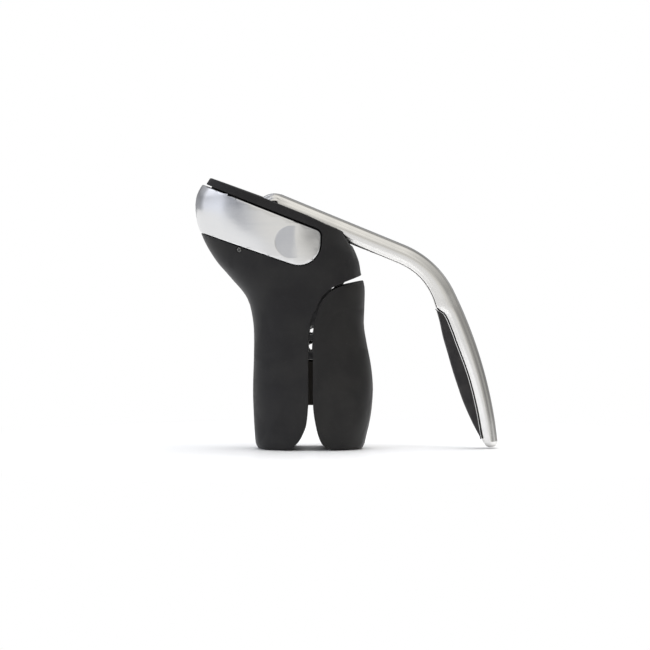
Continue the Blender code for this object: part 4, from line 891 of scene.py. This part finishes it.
def dress(obj, slot, body, *nodes):
    """Gives a finished piece its material, its body, and the CAD nodes that it stands for."""
    obj.data.name = obj.name
    obj.data.materials.clear()
    obj.data.materials.append(FINISHES[slot])
    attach(obj, body)
    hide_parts(*nodes)
    return obj


def lever_places(obj):
    """Stores each point's place along and across the lever, for streaks that follow its bend."""
    spine = lever_spine()
    run = [0.0]
    for before, after in zip(spine, spine[1:]):
        run.append(run[-1] + hypot(after[0] - before[0], after[1] - before[1]))
    attribute = obj.data.attributes.new("lever_place", "FLOAT_VECTOR", "POINT")
    values = []
    for vertex in obj.data.vertices:
        x, z = (vertex.co.x - AXIS_X) / MM, vertex.co.z / MM
        best = None
        for index, (before, after) in enumerate(zip(spine, spine[1:])):
            dx, dz = after[0] - before[0], after[1] - before[1]
            share = ((x - before[0]) * dx + (z - before[1]) * dz) / (dx * dx + dz * dz)
            share = min(1.0 if index < len(spine) - 2 else 9.0, max(0.0 if index else -9.0, share))
            off = hypot(x - before[0] - share * dx, z - before[1] - share * dz)
            if best is None or off < best[0]:
                best = (off, run[index] + share * (run[index + 1] - run[index]))
        values += [best[1] * MM, vertex.co.y, best[0] * MM]
    attribute.data.foreach_set("vector", values)


# -------------------------------------------------------------------------------------- the pieces
case_near, case_far = make_case()
dress(case_near, "case_plastic", "casing", "casing_near")
dress(case_far, "case_plastic", "casing", "casing_far")
dress(make_jaw(), "jaw_plastic", "jaw", "jaw_shell")
dress(make_cutter(), "cutter_metal", "foil_cutter", "foil_cutter_shell")

lever = make_lever()
lever_places(lever)
dress(lever, "lever_metal", "lever", "lever_arm")
grip = dress(make_grip_pad(), "grip_rubber", "lever", "grip_pad")

lining_heights = (LINER_BOTTOM, SEAT_Z - 1)
liner = make_sleeve("neck_lining", NECK_RADIUS, NECK_RADIUS + LINER_THICK, *lining_heights, 180, 105.0, 21)
dress(liner, "neck_rubber", "casing", "neck_liner")
pad = make_sleeve("jaw_lining", NECK_RADIUS, NECK_RADIUS + PAD_THICK, *lining_heights, 0, 60.0, 12)
dress(pad, "neck_rubber", "jaw", "jaw_pad")

CAD_SLOTS = {
    "inner_nylon": ("foil_cutter_liner", "nut_block"),
    "bearing_plastic": ("worm_nut", "lever_bush_near", "lever_bush_far", "crank_washer_near",
                        "crank_washer_far", "thrust_washer"),
    "frame_steel": ("frame_plate_near", "frame_plate_far", "crank_plate_near", "crank_plate_far", "link_near",
                    "link_far", "jaw_bracket", "jaw_backing", "worm_collar", "cross_pin"),
}
for name, cad_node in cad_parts.items():
    found = [slot for slot, names in CAD_SLOTS.items() if name in names]
    cad_node.data.materials.clear()
    cad_node.data.materials.append(FINISHES[found[0] if found else "bright_steel"])


# ------------------------------------------------------------------------------- floor, light, camera
FLOOR_FADE = (0.13, 0.30)   # metres from the middle over which the paper turns plain white


def make_floor():
    """White paper with a soft sheen, which runs out to plain white away from the object."""
    bpy.ops.mesh.primitive_plane_add(size=6, location=(0, 0, -0.0004))
    floor = bpy.context.object
    floor.name = "studio_floor"
    material, tree, shader = new_material("white_paper", Roughness=0.35, Specular_IOR_Level=0.3)
    noise = node(tree, "ShaderNodeTexNoise", {"Scale": 40.0, "Detail": 4.0})
    tree.links.new(mix_colour(tree, noise.outputs[0], (0.90, 0.90, 0.90, 1), (0.93, 0.93, 0.93, 1)),
                   shader.inputs["Base Color"])
    place = tree.nodes.new("ShaderNodeTexCoord").outputs["Object"]
    far = node(tree, "ShaderNodeVectorMath", {0: place}, operation="LENGTH").outputs["Value"]
    paper = node(tree, "ShaderNodeEmission", {"Color": (1, 1, 1, 1), "Strength": 1.0}).outputs[0]
    share = ramp(tree, far, *FLOOR_FADE)
    blend = node(tree, "ShaderNodeMixShader", {0: share, 1: shader.outputs[0], 2: paper})
    tree.links.new(blend.outputs[0], tree.nodes["Material Output"].inputs["Surface"])
    floor.data.materials.append(material)


def softbox(name, place, aim, size, power, colour=(1, 1, 1)):
    light = bpy.data.lights.new(name, "AREA")
    light.shape, light.size, light.size_y = "RECTANGLE", size[0], size[1]
    light.energy, light.color = power, colour
    lamp = bpy.data.objects.new(name, light)
    bpy.context.scene.collection.objects.link(lamp)
    lamp.location = place
    lamp.rotation_euler = (Vector(aim) - Vector(place)).to_track_quat("-Z", "Y").to_euler()
    lamp.visible_camera = lamp.visible_glossy = False
    return lamp


# brightness of the studio seen in the object's surfaces, by height above the horizon and by side
WALL_SHADES = ((-90, 0.85), (-30, 0.95), (-12, 0.86), (3, 0.80), (11, 0.62), (20, 0.95), (34, 1.15),
               (50, 0.70), (64, 0.95), (78, 1.10), (90, 0.62))
SIDE_SHADES = ((-180, 0.40), (-112, 0.50), (-88, 1.20), (-44, 1.30), (-32, 0.62), (-20, 0.42), (-12, 0.80),
               (0, 1.10), (14, 1.05), (26, 0.62), (60, 0.36), (110, 0.50), (180, 0.40))
# warm and cool tints of the same, by side: red, green and blue
TINTS = (((-180, 0.98), (-20, 0.93), (0, 1.03), (60, 1.02), (180, 0.98)),
         ((-180, 0.99), (-20, 0.96), (0, 1.01), (60, 1.01), (180, 0.99)),
         ((-180, 1.03), (-20, 1.05), (0, 0.96), (60, 0.98), (180, 1.03)))


def shade_ramp(tree, angle, shades, low, high):
    """A grey by angle, smoothly between (degrees, brightness) stops."""
    share = node(tree, "ShaderNodeMapRange", {0: angle, 1: radians(low), 2: radians(high)}).outputs[0]
    made = node(tree, "ShaderNodeValToRGB", {0: share})
    made.color_ramp.interpolation = "EASE"
    stops = made.color_ramp.elements
    for index, (degree, grey) in enumerate(shades):
        place = (degree - low) / (high - low)
        stop = stops[index] if index < 1 else (stops[-1] if index == len(shades) - 1 else stops.new(place))
        stop.position = place
        stop.color = (grey, grey, grey, 1)
    return made.outputs[0]


def make_light():
    """A white room to the camera; in reflections, tall soft walls with darker gaps between them."""
    bpy.context.scene.view_settings.view_transform = "Standard"
    world = bpy.data.worlds.new("studio")
    bpy.context.scene.world = world
    world.use_nodes = True
    tree = world.node_tree
    ground = tree.nodes["Background"]
    way = node(tree, "ShaderNodeSeparateXYZ", {0: tree.nodes.new("ShaderNodeTexCoord").outputs["Generated"]})
    height = math(tree, "ARCSINE", way.outputs[2])
    side = math(tree, "ARCTAN2", way.outputs[0], math(tree, "MULTIPLY", way.outputs[1], -1.0))
    walls = shade_ramp(tree, height, WALL_SHADES, -90, 90)
    sides = shade_ramp(tree, side, SIDE_SHADES, -180, 180)
    both = mix_colour(tree, 1.0, walls, sides, "MULTIPLY")
    bands = [shade_ramp(tree, side, band, -180, 180) for band in TINTS]
    tint = node(tree, "ShaderNodeCombineColor", dict(enumerate(bands))).outputs[0]
    tinted = mix_colour(tree, 1.0, both, tint, "MULTIPLY")
    seen = tree.nodes.new("ShaderNodeLightPath").outputs["Is Camera Ray"]
    tree.links.new(mix_colour(tree, seen, tinted, (1.0, 1.0, 1.0, 1)), ground.inputs["Color"])
    ground.inputs["Strength"].default_value = 1.0
    middle = (AXIS_X, 0, 0.09)
    softbox("top_box", (AXIS_X + 0.15, 0.25, 1.3), middle, (1.5, 1.2), 22)
    softbox("left_box", (-1.1, -0.7, 0.55), middle, (0.5, 0.9), 5, (0.93, 0.96, 1.0))
    softbox("right_box", (1.2, -0.5, 0.6), middle, (0.35, 1.1), 5, (1.0, 0.98, 0.94))


def make_camera():
    distance, lens, elevation = 2.5, 211.0, 2.2
    target = Vector((-0.0143, 0, 0.0806))
    camera = bpy.data.objects.new("camera", bpy.data.cameras.new("camera"))
    bpy.context.scene.collection.objects.link(camera)
    camera.data.lens = lens
    back = Vector((0, -cos(radians(elevation)), sin(radians(elevation))))
    camera.location = target + back * distance
    camera.rotation_euler = (-back).to_track_quat("-Z", "Y").to_euler()
    bpy.context.scene.camera = camera


make_floor()
make_light()
make_camera()

bpy.ops.object.select_all(action="DESELECT")
